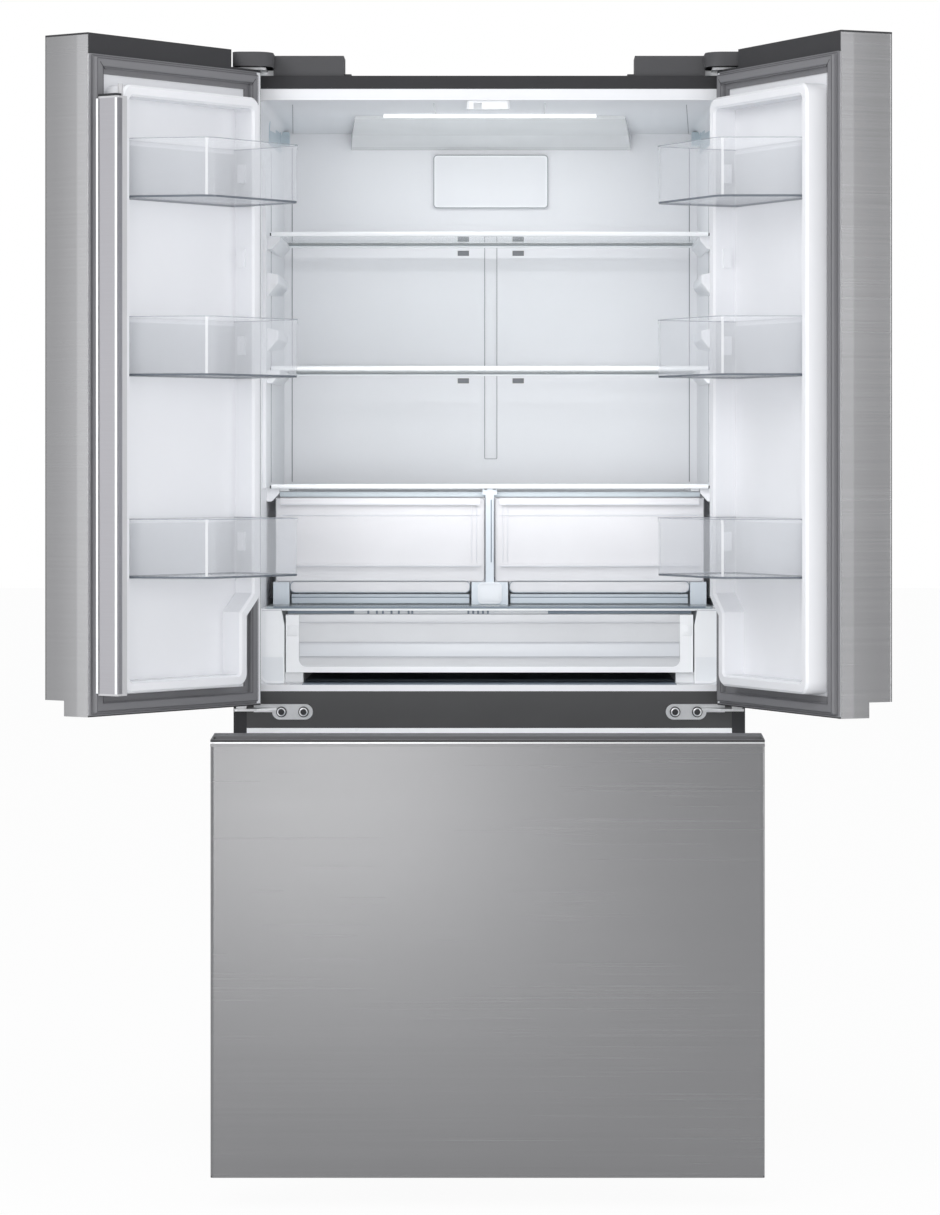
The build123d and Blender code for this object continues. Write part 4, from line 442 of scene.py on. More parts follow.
class Piece:
    """A part that starts as a plain block or round and is shaped in edit mode, in metres."""

    def __init__(self, name, made):
        self.object = made
        made.name = name
        made.data.name = name
        bpy.ops.object.transform_apply(location=True, rotation=True, scale=True)
        bpy.ops.object.mode_set(mode="EDIT")

    def select(self, test=None, kind="FACE"):
        """Selects faces, edges or corners that pass a test on what where() gives; without one, all."""
        bpy.ops.mesh.select_mode(type=kind)
        bpy.ops.mesh.select_all(action="DESELECT" if test else "SELECT")
        if test:
            mesh = bmesh.from_edit_mesh(self.object.data)
            for part in {"FACE": mesh.faces, "EDGE": mesh.edges, "VERT": mesh.verts}[kind]:
                part.select_set(bool(test(*where(part))))
            mesh.select_flush_mode()
            bmesh.update_edit_mesh(self.object.data)
        return self

    def edges(self, test=None):
        return self.select(test, "EDGE")

    def corners(self, test):
        return self.select(test, "VERT")

    def inset(self, thickness):
        bpy.ops.mesh.inset(thickness=thickness)
        return self

    def extrude(self, move):
        bpy.ops.mesh.extrude_region_move(TRANSFORM_OT_translate={"value": move})
        return self

    def swell(self, amount):
        """Extrudes the selected faces outwards along their own normals."""
        bpy.ops.mesh.extrude_region_shrink_fatten(TRANSFORM_OT_shrink_fatten={"value": amount})
        return self

    def move(self, move):
        bpy.ops.transform.translate(value=move)
        return self

    def bevel(self, offset, segments):
        bpy.ops.mesh.bevel(offset=offset, segments=segments, affect="EDGES", clamp_overlap=True)
        return self

    def cut(self, place, normal):
        """Divides the whole piece along a plane."""
        self.select()
        bpy.ops.mesh.bisect(plane_co=place, plane_no=normal)
        return self

    def paint(self, finish):
        """Gives the selected faces a finish of their own."""
        data = self.object.data
        if finish.material.name not in data.materials:
            data.materials.append(finish.material)
        self.object.active_material_index = data.materials.find(finish.material.name)
        bpy.ops.object.material_slot_assign()
        return self

    def done(self, body, finish=None):
        """Ends the shaping: gives the whole piece its finish, if it has just one, and lets it ride."""
        if finish:
            self.select().paint(finish)
        self.select()
        bpy.ops.mesh.normals_make_consistent(inside=False)
        bpy.ops.object.mode_set(mode="OBJECT")
        bpy.ops.object.shade_smooth_by_angle(angle=SMOOTH_ANGLE)
        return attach(self.object, body)


def where(part):
    """Middle of a face, edge or corner, with its normal or direction."""
    if isinstance(part, bmesh.types.BMFace):
        return part.calc_center_median(), part.normal
    if isinstance(part, bmesh.types.BMEdge):
        a, b = (v.co for v in part.verts)
        return (a + b) / 2, (b - a).normalized()
    return part.co, part.normal


def block(name, low, high):
    """A piece that starts as a block between two corners."""
    ready()
    size = [b - a for a, b in zip(low, high)]
    middle = [(a + b) / 2 for a, b in zip(low, high)]
    bpy.ops.mesh.primitive_cube_add(size=1, location=middle, scale=size)
    return Piece(name, bpy.context.object)


def round_bar(name, middle, radius, length, sides):
    """A piece that starts as a round bar lying front to back."""
    ready()
    bpy.ops.mesh.primitive_cylinder_add(
        radius=radius, depth=length, vertices=sides, location=middle, rotation=(math.pi / 2, 0, 0)
    )
    return Piece(name, bpy.context.object)


def tidy_mirror(made):
    """Merges doubled corners of a mirrored mesh and turns its faces outwards again."""
    ready()
    made.select_set(True)
    bpy.context.view_layer.objects.active = made
    bpy.ops.object.mode_set(mode="EDIT")
    bpy.ops.mesh.select_all(action="SELECT")
    bpy.ops.mesh.remove_doubles(threshold=1e-6)
    bpy.ops.mesh.normals_make_consistent(inside=False)
    bpy.ops.object.mode_set(mode="OBJECT")


def copy_of(piece, name, body, move=None, mirrored=False, turn=None):
    """The same piece again with its own mesh, as its mirror image, moved or turned."""
    made = piece.copy()
    made.data = piece.data.copy()
    made.name = name
    made.data.name = name
    made.parent = None
    bpy.context.collection.objects.link(made)
    if mirrored:
        made.data.transform(Matrix.Scale(-1, 4, (1, 0, 0)))
        tidy_mirror(made)
    if move:
        made.data.transform(Matrix.Translation(move))
    if turn:
        made.data.transform(turn)
    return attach(made, body)


def on_both_doors(piece, name):
    """Carries a piece drawn on the shut left door to where both open doors have it."""
    copy_of(piece, "right_" + name, "right_door", mirrored=True, turn=RIGHT_DOOR)
    piece.name = piece.data.name = "left_" + name
    piece.data.transform(LEFT_DOOR)


# ---- Pieces in millimetres ----
def mm(x, depth, height):
    """A point in millimetres across, back from the cabinet's front flange, and up from the floor."""
    return Vector((x / 1000, depth / 1000 + FRONT, height / 1000))


def plate(name, x, depth, z):
    """A block between two millimetre places each way."""
    return block(name, mm(x[0], depth[0], z[0]), mm(x[1], depth[1], z[1]))


def strip(name, x, depth, z, finish, soft=0.3, body="cabinet"):
    """A straight strip in millimetres with softened edges."""
    piece = plate(name, x, depth, z)
    piece.edges().bevel(soft / 1000, 2)
    return piece.done(body, finish)


def outline(name, x, depth, z, width, corner, finish, body="cabinet"):
    """A thin upright frame with round corners."""
    piece = plate(name, x, depth, z)
    piece.edges(lambda co, d: abs(d.y) > FACING).bevel(corner / 1000, 6)
    piece.select(lambda co, n: abs(n.y) > FACING).inset(width / 1000)
    bpy.ops.mesh.bridge_edge_loops()
    return piece.done(body, finish)


def bracket(name, x, depth, z, arm, finish, upright=None, bend=None, body="cabinet"):
    """A bar with an arm at each end, going up to a height with a bend, or else forwards to SHELF_FRONT."""
    piece = plate(name, x, depth, z)
    edge = (x[1] - arm) / 1000
    top = z[1] / 1000
    for side in (-edge, edge):
        piece.cut((side, 0, 0), (1, 0, 0))

    def inner(co):
        return abs(abs(co.x) - edge) < TOUCH and abs(co.z - top) < TOUCH

    if upright:
        piece.select(lambda co, n: n.z > FACING and abs(co.x) > edge).extrude((0, 0, upright / 1000 - top))
        piece.edges(lambda co, d: abs(d.y) > FACING and inner(co)).bevel(bend / 1000, 6)
    else:
        piece.select(lambda co, n: n.y < -FACING and abs(co.x) > edge)
        piece.extrude((0, (SHELF_FRONT - depth[0]) / 1000, 0))
    return piece.done(body, finish)


def both_sides(piece, name):
    """Keeps a piece of the left side and adds its mirror image on the right."""
    copy_of(piece, "right_" + name, "cabinet", mirrored=True)
    piece.name = piece.data.name = "left_" + name


# ---- Door bins ----
BIN_HEIGHT = 0.092
BIN_LEVELS = (0.939, 1.252, 1.527)
BIN_GAP = 0.0033  # between a bin and the room the CAD gives it, at each end
BIN_BEND = 0.016  # radius of the upright front corners
BIN_SHOULDER = 0.109  # from the front back to where the slanted ends begin
BIN_FREE_SLANT, BIN_HINGE_SLANT = 0.050, 0.0167  # how far the ends slant in
BIN_WALL = 0.0034
BIN_FLOOR_THICKNESS = 0.0025
BIN_FOOT_HEIGHT = 0.0034
BIN_RIM_HEIGHT = 0.0075
BIN_RIM_OUT = 0.0014  # how far the rim stands out from the wall
BIN_LINE = 0.0012  # height of the darker, denser line along the rim's top, painted shade in place of the dark edge that refraction gives clear plastic
BIN_LOOPS = (0.030, BIN_HEIGHT - 0.009)  # heights of two more divisions of the wall


def door_bins():
    """Clear bins with round front corners, a thin rim and a shallow floor, three on each door."""
    low, high = shut_box("left_door_bins")
    low.x += BIN_GAP
    high.x -= BIN_GAP
    middle = (low.x + high.x) / 2
    front, bottom = high.y, low.z
    shoulder = front - BIN_SHOULDER
    top = bottom + BIN_HEIGHT
    foot = bottom + BIN_FOOT_HEIGHT
    line = top - BIN_LINE

    def at_front(co):
        return co.y > front - NEAR

    def upright(d):
        return abs(d.z) > FACING

    def round_corner(n):
        return abs(n.z) < 0.3 and 0.55 < abs(n.x) < 0.75

    piece = block("door_bin_1", low, (high.x, front, top))
    piece.cut((0, shoulder, 0), (0, 1, 0))
    piece.corners(lambda co, n: at_front(co) and co.x > middle).move((-BIN_FREE_SLANT, 0, 0))
    piece.corners(lambda co, n: at_front(co) and co.x < middle).move((BIN_HINGE_SLANT, 0, 0))
    piece.edges(lambda co, d: at_front(co) and upright(d)).bevel(BIN_BEND, 7)
    piece.edges(lambda co, d: abs(co.y - shoulder) < NEAR and upright(d)).bevel(0.006, 4)
    piece.edges(lambda co, d: co.z < bottom + TOUCH and co.y > shoulder - 0.004).bevel(0.003, 3)
    for level in (BIN_FOOT_HEIGHT, *BIN_LOOPS, BIN_HEIGHT - BIN_RIM_HEIGHT, BIN_HEIGHT - BIN_LINE):
        piece.cut((0, 0, bottom + level), (0, 0, 1))
    piece.select(lambda co, n: top - BIN_RIM_HEIGHT < co.z < top - TOUCH and abs(n.z) < 0.5)
    piece.swell(BIN_RIM_OUT)
    piece.select(lambda co, n: co.z > top - TOUCH and n.z > FACING).inset(BIN_WALL)
    piece.extrude((0, 0, BIN_FLOOR_THICKNESS - BIN_HEIGHT))
    piece.select().paint(BIN_CLEAR)
    # Painted highlight down the middle of each round front corner.
    piece.select(lambda co, n: co.y > front - BIN_BEND / 2 and round_corner(n)).paint(BIN_CORNER_HIGHLIGHT)
    piece.select(lambda co, n: co.z < foot + TOUCH).paint(BIN_FLOOR)
    # Painted shade on the foot edge and along the rim's top.
    piece.select(lambda co, n: co.z < foot + TOUCH and abs(n.z) < FACING).paint(BIN_FOOT_SHADE)
    piece.select(lambda co, n: co.z > line - TOUCH).paint(BIN_RIM_SHADE)
    made = [piece.done("left_door")]
    for i, level in enumerate(BIN_LEVELS[1:], 2):
        rise = (0, 0, level - BIN_LEVELS[0])
        made.append(copy_of(made[0], f"door_bin_{i}", "left_door", move=rise))
    for i, bin_piece in enumerate(made, 1):
        on_both_doors(bin_piece, f"door_bin_{i}")
        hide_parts("left_door_bins")
        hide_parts("right_door_bins")


# ---- Doors, drawn shut on the left and carried to both ----
DOOR_FACE = -12.0  # inner face of a door
DOOR_LOW, DOOR_HIGH = 728.0, 1748.0  # heights of that face, between the door's caps
SEAL_X = (-402.5, -5.0)  # outer edges of the left door's seal
SEAL_NOSE = DOOR_FACE + 11.6  # how far the door seal stands out
MITRE_IN = 18.0  # from the seal's outer edges in to the middle of a mitre mark


def seal_grooves():
    """Painted shade in the fine folds round the door seal, as dark lines, and mitre marks at its upper
    corners.
    """
    foot = (DOOR_FACE + 2.9, DOOR_FACE + 3.2)
    nose = (SEAL_NOSE - 0.3, SEAL_NOSE + 0.15)
    for i, (edge, depth) in enumerate(((2.0, foot), (6.4, nose), (19.6, nose)), 1):
        x, z = (SEAL_X[0] + edge, SEAL_X[1] - edge), (DOOR_LOW + edge, DOOR_HIGH - edge)
        name = f"seal_groove_shade_{i}"
        on_both_doors(outline(name, x, depth, z, 0.7, 1.5, SEAL_GROOVE_SHADE, "left_door"), name)
    z = DOOR_HIGH - MITRE_IN
    free, hinge = SEAL_X[1] - MITRE_IN, SEAL_X[0] + MITRE_IN
    for name, x, way in (("free_mitre", free, 1), ("hinge_mitre", hinge, -1)):
        piece = plate(name, (x - 8, x + 8), (SEAL_NOSE - 0.3, SEAL_NOSE + 0.2), (z - 0.5, z + 0.5))
        piece.edges(lambda co, d: abs(d.y) > FACING).bevel(0.0004, 3)
        piece.select()
        centre = mm(x, SEAL_NOSE, z)
        bpy.ops.transform.rotate(value=way * math.pi / 4, orient_axis="Y", center_override=centre)
        on_both_doors(piece.done("left_door", BLACK_PLASTIC_AND_SHADE), name)


def door_joints():
    """Dark joint under the top cap, and a painted highlight along the folded edge of the stainless skin."""
    depth, z = (DOOR_FACE - 0.3, DOOR_FACE + 0.2), (DOOR_HIGH - 0.4, DOOR_HIGH + 0.8)
    cap = strip("cap_joint", (-415.8, -2.2), depth, z, BLACK_PLASTIC_AND_SHADE, 0.1, "left_door")
    on_both_doors(cap, "cap_joint")
    depth, z = (DOOR_FACE - 0.8, DOOR_FACE + 0.5), (730, DOOR_HIGH - 1)
    # Painted highlight along the skin's folded edge.
    fold = strip("skin_fold_highlight", (-3.6, -2.0), depth, z, EDGE_HIGHLIGHT_STEEL, 0.3, "left_door")
    on_both_doors(fold, "skin_fold_highlight")


def mullion_edges():
    """White edges down the folded mullion's face, and painted shade as a dark strip on its top."""
    low, high = shut_box("mullion_face")
    face = high.x * 1000
    near, far = ((y - FRONT) * 1000 for y in (low.y, high.y))
    z = (low.z * 1000, high.z * 1000)
    width = 4.4
    for side, depth in (("near", (near, near + width)), ("far", (far - width, far))):
        edge = strip(f"mullion_edge_{side}", (face - 0.2, face + 0.4), depth, z, TRIM, 0.2, "mullion")
        edge.data.transform(LEFT_DOOR)
    x, depth, z = (face - 14, face - 1), (near + 3, far - 3), (z[1] + 3, z[1] + 7)
    # Painted shade on the mullion's top.
    top = strip("mullion_top_shade", x, depth, z, BLACK_PLASTIC_AND_SHADE, 0.6, "mullion")
    top.data.transform(LEFT_DOOR)


# ---- Fresh food space ----
SHELF_FRONT = 166.0  # where the seals round a shelf glass end, behind its front trim
SHELF_BACK = 470.0
LEVELS = {"upper": 1495.0, "middle": 1272.0, "crisper_cover": 1075.0}  # undersides of the glass panes

VENT_ACROSS = 0.048  # from the middle of the back wall to the middle of an air outlet
VENT_SIZE = Vector((0.0098, 0, 0.0043))  # half across and half up
SLAT = 0.00215  # height of one slat


def air_vents():
    """Grey grilles in the six air outlets."""
    y = BACK_WALL
    middle = Vector((VENT_ACROSS, y, LEVELS["upper"] / 1000 + 0.0135))
    low, high = middle - VENT_SIZE, middle + VENT_SIZE
    piece = block("air_vent_1", (low.x, y - 0.0002, low.z), (high.x, y + 0.0023, high.z))
    piece.select(lambda co, n: n.y < -FACING).inset(0.0008).extrude((0, 0.001, 0))
    for i in (-1, 0, 1):
        piece.cut((0, 0, middle.z + i * SLAT), (0, 0, 1))
    piece.select(lambda co, n: n.y < -FACING and co.y > y + 0.0006).inset(0.0003)
    piece.edges(lambda co, d: co.y < y and abs(d.y) < 0.5).bevel(0.0002, 2)
    first = piece.done("cabinet", VENT_GREY)
    drop = (LEVELS["middle"] - LEVELS["upper"]) / 1000
    left, under = -2 * VENT_ACROSS, -0.025
    spots = [(left, 0), (0, under), (left, under), (0, drop + under), (left, drop + under)]
    for i, (across, up) in enumerate(spots, 2):
        copy_of(first, f"air_vent_{i}", "cabinet", move=(across, 0, up))


def back_wall_lines():
    """Grey line of painted shadow round the bare duct panel with a white rim inside it, and a grey line of
    painted shade round the groove below.
    """
    low, high = (v * 1000 for v in box("duct_panel"))
    face = low.y - FRONT * 1000
    wall = (BACK_WALL - FRONT) * 1000

    def spans(margin):
        return (low.x - margin, high.x + margin), (low.z - margin, high.z + margin)

    x, z = spans(0.3)
    outline("duct_outline", x, (face - 0.4, face + 2), z, 1.6, 6.8, PANEL_SHADOW_LINE)
    x, z = spans(-1.5)
    outline("duct_rim", x, (face - 0.9, face + 0.2), z, 3.2, 5.5, TRIM)
    x, z = (-11.2, 11.2), (1123.5, 1513.5)
    outline("groove_outline", x, (wall - 0.4, wall + 0.2), z, 1.0, 2.5, SHADE_LINE_GREY)


def wall_lines():
    """Painted shade as fine grey lines in the creases down the side walls and the back corners, and from
    these along the ceiling; beads on the ceiling carry a painted highlight.
    """
    wall = -wall_at(0.25 + FRONT) * 1000
    for i, z in enumerate(((1084, 1254), (1280, 1477), (1503, 1640)), 1):
        name = f"wall_crease_{i}"
        both_sides(strip(name, (wall - 0.4, wall + 0.7), (249, 251), z, SHADE_LINE_GREY, 0.25), name)
    back = (BACK_WALL - FRONT) * 1000
    corner = strip("corner_crease", (-348, -346.6), (back - 0.7, back + 0.3), (1084, 1668), SHADE_LINE_GREY)
    both_sides(corner, "corner_crease")
    high, run = ceiling_at(BACK_WALL) * 1000, 0.440
    piece = plate("ceiling_crease", (-346, -344.8), (back - 12, back - 11), (high, high + 1))
    piece.select(lambda co, n: n.y < -FACING).extrude((0.022, -run, run * ROOM_LEAN))
    both_sides(piece.done("cabinet", SHADE_LINE_GREY), "ceiling_crease")
    low, run = ceiling_at(0.197 + FRONT) * 1000 - 0.6, 0.158
    # Raised beads along the ceiling, finished a little lighter than the liner as a painted highlight.
    piece = plate("ceiling_bead", (-91.8, -90.2), (196, 197), (low, 1702.5))
    piece.select(lambda co, n: n.y < -FACING).extrude((0, -run, run * ROOM_LEAN))
    piece.edges(lambda co, d: abs(d.y) > FACING).bevel(0.0003, 2)
    both_sides(piece.done("cabinet", TRIM), "ceiling_bead")


def corner_pockets():
    """Low arched covers high on the side walls, behind the light, each with a small box at its back."""
    middle, ends = 0.3, (205, 440)
    wall = -wall_at(middle + FRONT) * 1000
    piece = plate("corner_pocket", (wall - 4.5, wall + 1.4), ends, (1652, 1697))
    piece.edges(lambda co, d: abs(d.x) > FACING and co.z > 1.68).bevel(0.040, 9)
    for end in ends:
        lean = (middle - end / 1000) * ROOM_LEAN
        near = mm(0, end, 0).y
        piece.corners(lambda co, n: abs(co.y - near) < 0.05 and co.x > wall / 1000).move((-lean, 0, 0))
    piece.select(lambda co, n: n.x > FACING).inset(0.004).extrude((-0.0009, 0, 0))
    both_sides(piece.done("cabinet", POCKET), "corner_pocket")
    piece = plate("pocket_box", (-366, -348.5), (446, 476), (1667, 1690))
    piece.edges(lambda co, d: abs(d.y) > FACING and co.x > -0.35).bevel(0.002, 3)
    piece.select(lambda co, n: n.y < -FACING).inset(0.0018).extrude((0, 0.0012, 0))
    both_sides(piece.done("cabinet", POCKET), "pocket_box")


def wall_rests():
    """Spare shelf rests between the upper and the middle shelf, tapering into the side walls."""
    nose, low, high = -352.5, 1418.0, 1431.0
    piece = plate("wall_rest_1", (-377, nose), (178, 470), (low - 24, high + 4))
    for level in (low, high):
        piece.cut(mm(0, 0, level), (0, 0, 1))

    def inner(co):
        return co.x > nose / 1000 - NEAR

    def outside(co):
        return co.z > high / 1000 + 0.002 or co.z < low / 1000 - 0.005

    piece.corners(lambda co, n: inner(co) and outside(co)).move((-0.020, 0, 0))
    piece.edges(lambda co, d: inner(co) and abs(d.z) > FACING).bevel(0.004, 4)
    piece.edges(lambda co, d: inner(co) and abs(d.y) > FACING).bevel(0.0015, 2)
    first = piece.done("cabinet", ROOM_LINER)
    second = copy_of(first, "wall_rest_2", "cabinet", move=(0, 0, -0.093))
    both_sides(first, "wall_rest_1")
    both_sides(second, "wall_rest_2")


def shelf_details():
    """Dark seal round the underside of each shelf glass, and a clip at each end of its front trim."""
    for name, level in LEVELS.items():
        x, depth, z = (-352.0, 352.0), (SHELF_BACK - 1.6, SHELF_BACK), (level - 1.1, level - 0.3)
        bracket(name + "_seal", x, depth, z, 1.4, SEAL_LINE)
        clip = plate(name + "_clip", (-365.6, -363.0), (152.5, 158), (level - 0.5, level + 4.5))
        clip.edges(lambda co, d: abs(d.y) > FACING and co.z < level / 1000).bevel(0.0011, 3)
        both_sides(clip.done("cabinet", BLACK_PLASTIC_AND_SHADE), name + "_clip")
    level = LEVELS["crisper_cover"]
    for name, x in (("left_stop", -9.5), ("right_stop", 5.0)):
        strip(name, (x, x + 5.2), (151.4, 153), (level - 2.2, level - 0.9), BLACK_PLASTIC_AND_SHADE)


def crisper_details():
    """Outlines of a crisper's face and foot, and its crease lines, all drawn in painted shade, on both
    crispers.
    """
    face, body = 161.0, "left_crisper"
    wide, proud = (-348, -17), (face - 0.4, face + 0.5)
    depth = (face - 0.5, face + 1)
    pieces = [
        outline("crisper_edge", (-356.4, -8.4), depth, (919.6, 1059), 0.9, 6.0, SHADE_LINE_GREY, body),
        outline("crisper_foot", (-332.6, -32.4), depth, (900.8, 921), 1.2, 9.0, SLATE_SHADE, body),
    ]
    for name, x, depth, z in (
        ("crisper_crease", wide, proud, (1029, 1030.4)),
        ("crisper_lip_line", wide, (face - 7.6, face - 6.8), (1047.4, 1048.6)),
        ("crisper_stop", wide, (face - 5.6, face - 4.6), (944.6, 946)),
        ("crisper_rib_1", (-30.5, -29.4), proud, (952, 1046)),
        ("crisper_rib_2", (-22.5, -21.4), proud, (952, 1046)),
    ):
        pieces.append(strip(name, x, depth, z, CREASE_SHADE, 0.2, body))
    for piece in pieces:
        name = piece.name
        copy_of(piece, "right_" + name, "right_crisper", mirrored=True)
        piece.name = piece.data.name = "left_" + name


def centre_post():
    """White stem, foot block and a dark slot in front of the support between the crispers; the slot, the
    lines and the side gaps are painted shade.
    """
    piece = plate("post_block", (-20, 20), (154.2, 158), (883, 918.5))
    piece.edges(lambda co, d: abs(d.y) > FACING).bevel(0.008, 5)
    piece.select(lambda co, n: n.y < -FACING).inset(0.0025).extrude((0, 0.0014, 0))
    piece.inset(0.002).extrude((0, -0.001, 0))
    piece.done("cabinet", POST)
    for i, x in enumerate(((-330, -34), (34, 330)), 1):
        strip(f"support_bar_{i}", x, (165, 168), (883, 899), SUPPORT, 1.0)
        strip(f"support_line_{i}", x, (164.6, 165.4), (892.6, 894.2), SLATE_SHADE)
    strip("cover_apron", (-350, 350), (168, 171), (1060.5, 1069), APRON, 1.0)
    strip("post_slot", (1.6, 3.2), (154.6, 157), (952, 1056), SLATE_SHADE)
    both_sides(strip("post_line", (-7.6, -6.8), (154.8, 157), (925, 1060), SHADE_LINE_GREY), "post_line")
    # Black strips of painted shade in the gaps beside the crisper cover.
    both_sides(strip("side_gap", (-366.6, -362.2), (157, 159), (893, 931), BLACK_PLASTIC_AND_SHADE, 0.8), "side_gap")


def pantry_details():
    """White surround with a tab at each end, and a band with creases in painted shade on the pantry
    drawer's front.
    """
    front = 46.0
    x, depth = (-333.3, 333.3), (front - 0.9, front + 0.2)
    bracket("pantry_surround", x, depth, (774.4, 783.6), 21.5, TRIM, upright=868, bend=12, body="pantry")
    window = ((-311.4, 311.4), (front - 0.5, front + 2.6))
    for i, z in enumerate(((822.6, 824.2), (798.8, 800.2), (855.6, 857)), 1):
        strip(f"pantry_crease_{i}", window[0], window[1], z, CREASE_SHADE, 0.2, "pantry")
    depth, z = (front + 1.6, front + 2.8), (800.4, 822.4)
    strip("pantry_window_band", (-311.2, 311.2), depth, z, BAND, 0.3, "pantry")
    for i, side in enumerate((-1, 1), 1):
        x = sorted((side * 330.5, side * 315))
        strip(f"pantry_tab_{i}", x, (front - 1.7, front), (834, 852), TRIM, 0.6, "pantry")


SLOT_STEPS = (14, 24, 38, 50, 66, 72, 164, 172, 180, 188, 196)  # from the first slot to the others


def pantry_glass_edge():
    """Front edge of the pantry glass, dark with its own tint and painted shade, the bead under it, and the
    rails and slots behind that, dark with painted shade.
    """
    strip("pantry_glass_front", (-354, 354), (47.3, 48.4), (879.4, 882.2), SLATE_SHADE)
    strip("pantry_glass_bead", (-340, 340), (47.6, 52), (875.2, 878), TRIM)
    for i, x in enumerate(((-331, -222), (96, 331)), 1):
        strip(f"pantry_rail_{i}", x, (54, 56), (870.2, 875.2), SLATE_SHADE)
    strip("pantry_gap", (-331, 331), (57, 58), (869.4, 875.3), BAND)
    first = strip("pantry_slot_1", (-200.2, -197), (54, 56), (869.8, 875.2), SLATE_SHADE)
    for i, across in enumerate(SLOT_STEPS, 2):
        copy_of(first, f"pantry_slot_{i}", "cabinet", move=(across / 1000, 0, 0))


def under_drawer_shades():
    """Painted shade under the pantry drawer: a dark sheet where there is only shade, with a slate strip in
    front of it.
    """
    strip("under_drawer_shade", (-305, 305), (128, 470), (756.1, 757.1), SHADE_SHEET)
    strip("under_drawer_shade_strip", (-305, 305), (8, 122), (756.1, 756.9), SLATE_SHADE)
    piece = plate("under_drawer_shade_front", (-305, 305), (122.5, 128), (756.1, 758.6))
    for i in range(-5, 6):
        piece.cut(mm(i * 52, 0, 0), (1, 0, 0))
    piece.edges(lambda co, d: abs(d.x) > FACING and co.z > 0.758).bevel(0.0008, 2)
    piece.done("cabinet", SHADE_SHEET)


def rail_cover_feet():
    """Frosted lower panels on the fronts of the pantry rail covers."""
    piece = plate("rail_cover_foot", (-371.6, -337.5), (41.3, 42.2), (760.5, 799.5))
    piece.edges(lambda co, d: abs(d.y) > FACING and co.z < 0.77 and co.x < -0.36).bevel(0.012, 8)
    piece.select(lambda co, n: n.y < -FACING).inset(0.0012).extrude((0, 0.0004, 0))
    both_sides(piece.done("cabinet", FROSTED), "rail_cover_foot")
    # Joint line in painted shade.
    joint = strip("rail_cover_joint", (-372, -337), (41.2, 42.1), (875.4, 876.4), CREASE_SHADE, 0.2)
    both_sides(joint, "rail_cover_joint")


# ---- Hinges, back and machine compartment ----
def screw(name, place, radius, height, facing):
    """A bright screw head with its rim and socket darkened by painted shade, facing forwards (-1) or
    backwards (1).
    """
    middle = place + Vector((0, facing * height / 2, 0))
    rim = place.y + facing * height
    piece = round_bar(name, middle, radius, height, 30)
    piece.edges(lambda co, d: abs(co.y - rim) < TOUCH / 10).bevel(height * 0.36, 3)
    piece.select().paint(SOCKET_SHADE)
    piece.select(lambda co, n: n.y * facing > FACING).inset(radius * 0.08).paint(ZINC)
    piece.inset(radius * 0.24).extrude((0, -facing * height * 0.17, 0)).paint(SOCKET_SHADE)
    piece.inset(radius * 0.16).extrude((0, facing * height * 0.1, 0))
    return piece.done("cabinet")


def hinge_screws():
    """Screws of the lower hinge plates, over their hexagon cores."""
    start, *others = (-338, -302, 302, 338)
    first = screw("hinge_screw_1", mm(start, -3, 712.5), 0.0086, 0.0052, -1)
    for i, x in enumerate(others, 2):
        copy_of(first, f"hinge_screw_{i}", "cabinet", move=((x - start) / 1000, 0, 0))


def back_screws():
    """Screws round the back panel and the machine compartment's cover."""
    back = box("back_panel")[1].y * 1000 - FRONT * 1000 - 2.5
    start, *others = [(x, z) for z in (300, 640, 990, 1340, 1700) for x in (-400, 400)] + [(0, 1725)]
    cover = [(x, z) for z in (52, 250) for x in (-396, 0, 396)]
    first = screw("back_screw_1", mm(start[0], back, start[1]), 0.0045, 0.002, 1)
    for kind, count_from, spots in (("back_screw", 2, others), ("cover_screw", 1, cover)):
        for i, (x, z) in enumerate(spots, count_from):
            move = ((x - start[0]) / 1000, 0, (z - start[1]) / 1000)
            copy_of(first, f"{kind}_{i}", "cabinet", move=move)


for build in (
    door_bins, seal_grooves, door_joints, mullion_edges, air_vents, back_wall_lines, wall_lines,
    corner_pockets, shelf_details, crisper_details, centre_post, pantry_details, pantry_glass_edge,
    under_drawer_shades, rail_cover_feet, wall_rests, hinge_screws, back_screws,
):
    build()


# ---- Studio ----
FLOOR_WHITE = 0.95  # how much of the floor the camera sees as plain white; the rest keeps the shadow
GLOSS_SHARE = 0.1  # how much of the white floor and surroundings metal and glass see


def studio_floor():
    """A wide pale floor that keeps the refrigerator's soft shadow."""
    ready()
    bpy.ops.mesh.primitive_plane_add(size=60)
    floor = bpy.context.object
    floor.name = "studio_floor"
    paint = Finish("studio_floor", (243, 243, 243), 1.0)
    seen = paint.whitened(Value(paint, paint.shader.outputs[0]), FLOOR_WHITE, GLOSS_SHARE)
    paint.join(seen, paint.tree.nodes["Material Output"].inputs[0])
    floor.data.materials.append(paint.material)


def studio_world():
    """Surroundings that are white to the camera and light the scene with a soft bluish grey."""
    world = bpy.data.worlds.new("studio")
    bpy.context.scene.world = world
    world.use_nodes = True
    nodes = Nodes(world.node_tree)
    soft = world.node_tree.nodes["Background"]
    soft.inputs["Color"].default_value = (0.60, 0.605, 0.62, 1)
    seen = nodes.whitened(Value(nodes, soft.outputs[0]), 1.0, GLOSS_SHARE)
    nodes.join(seen, world.node_tree.nodes["World Output"].inputs[0])


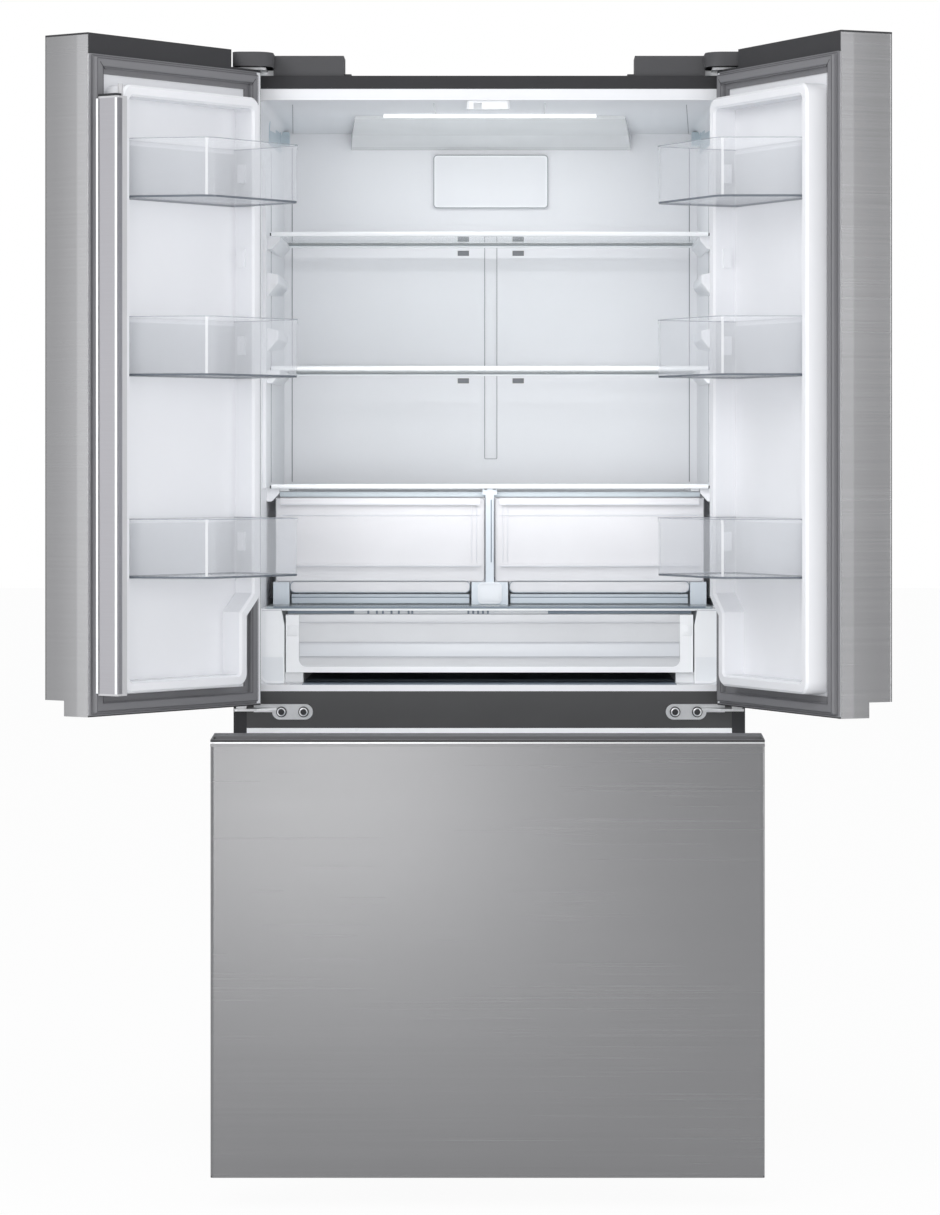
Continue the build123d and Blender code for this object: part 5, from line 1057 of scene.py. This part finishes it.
def lamp(name, place, target, size, power, mirrored=True):
    """A soft rectangular lamp aimed at a place. Glossy surfaces show it only if it is mirrored."""
    data = bpy.data.lights.new(name, "AREA")
    data.shape = "RECTANGLE"
    data.size, data.size_y = size
    data.energy = power
    made = bpy.data.objects.new(name, data)
    made.visible_glossy = mirrored
    made.visible_camera = False
    made.location = place
    made.rotation_euler = (Vector(target) - Vector(place)).to_track_quat("-Z", "Y").to_euler()
    bpy.context.collection.objects.link(made)


def studio_camera():
    """A level camera 6.9 m in front of the flange, with its view shifted a little down and left."""
    data = bpy.data.cameras.new("camera")
    data.lens = 125.7
    data.shift_x = -0.0329
    data.shift_y = -0.1214
    camera = bpy.data.objects.new("camera", data)
    camera.location = (0.0336, -7.2125, 1.122)
    camera.rotation_euler = (math.pi / 2, 0, 0)
    bpy.context.collection.objects.link(camera)
    bpy.context.scene.camera = camera


studio_floor()
studio_world()
studio_camera()

lamp("key", (-2.6, -4.2, 3.4), (0, 0, 0.9), (2.2, 2.2), 64)
lamp("fill", (3.2, -3.6, 2.2), (0, 0, 0.9), (2.4, 2.4), 4)
lamp("front", (0, -5.6, 1.4), (0, 0, 1.0), (3.0, 2.0), 60, mirrored=False)
lamp("low_softbox", (-0.45, -5.6, 0.32), (-0.1, 0, 0.5), (0.9, 0.4), 6.6)
lamp("side_softbox", (-5.0, -2.0, 1.3), (-0.6, -0.6, 1.2), (1.5, 2.5), 13)
lamp("right_softbox", (5.0, -2.4, 1.3), (0.6, -0.6, 1.2), (1.5, 2.5), 40)
lamp("top", (0, -1.0, 4.0), (0, 0, 0.9), (2.5, 2.5), 9, mirrored=False)

# Small lamps light the fresh food space: under the ceiling, over the middle shelf and in front of the sill.
lamp("cabinet_light", (0, -0.10, 1.694), (0, -0.05, 0.9), (0.36, 0.004), 0.62)
lamp("shelf_light", (0, -0.30, 1.16), (0, 0.2, 1.12), (0.6, 0.12), 0.6, mirrored=False)
lamp("sill_light", (0, -1.8, 0.86), (0, -0.3, 0.80), (1.2, 0.3), 1.9, mirrored=False)

bpy.context.scene.view_settings.view_transform = "Standard"
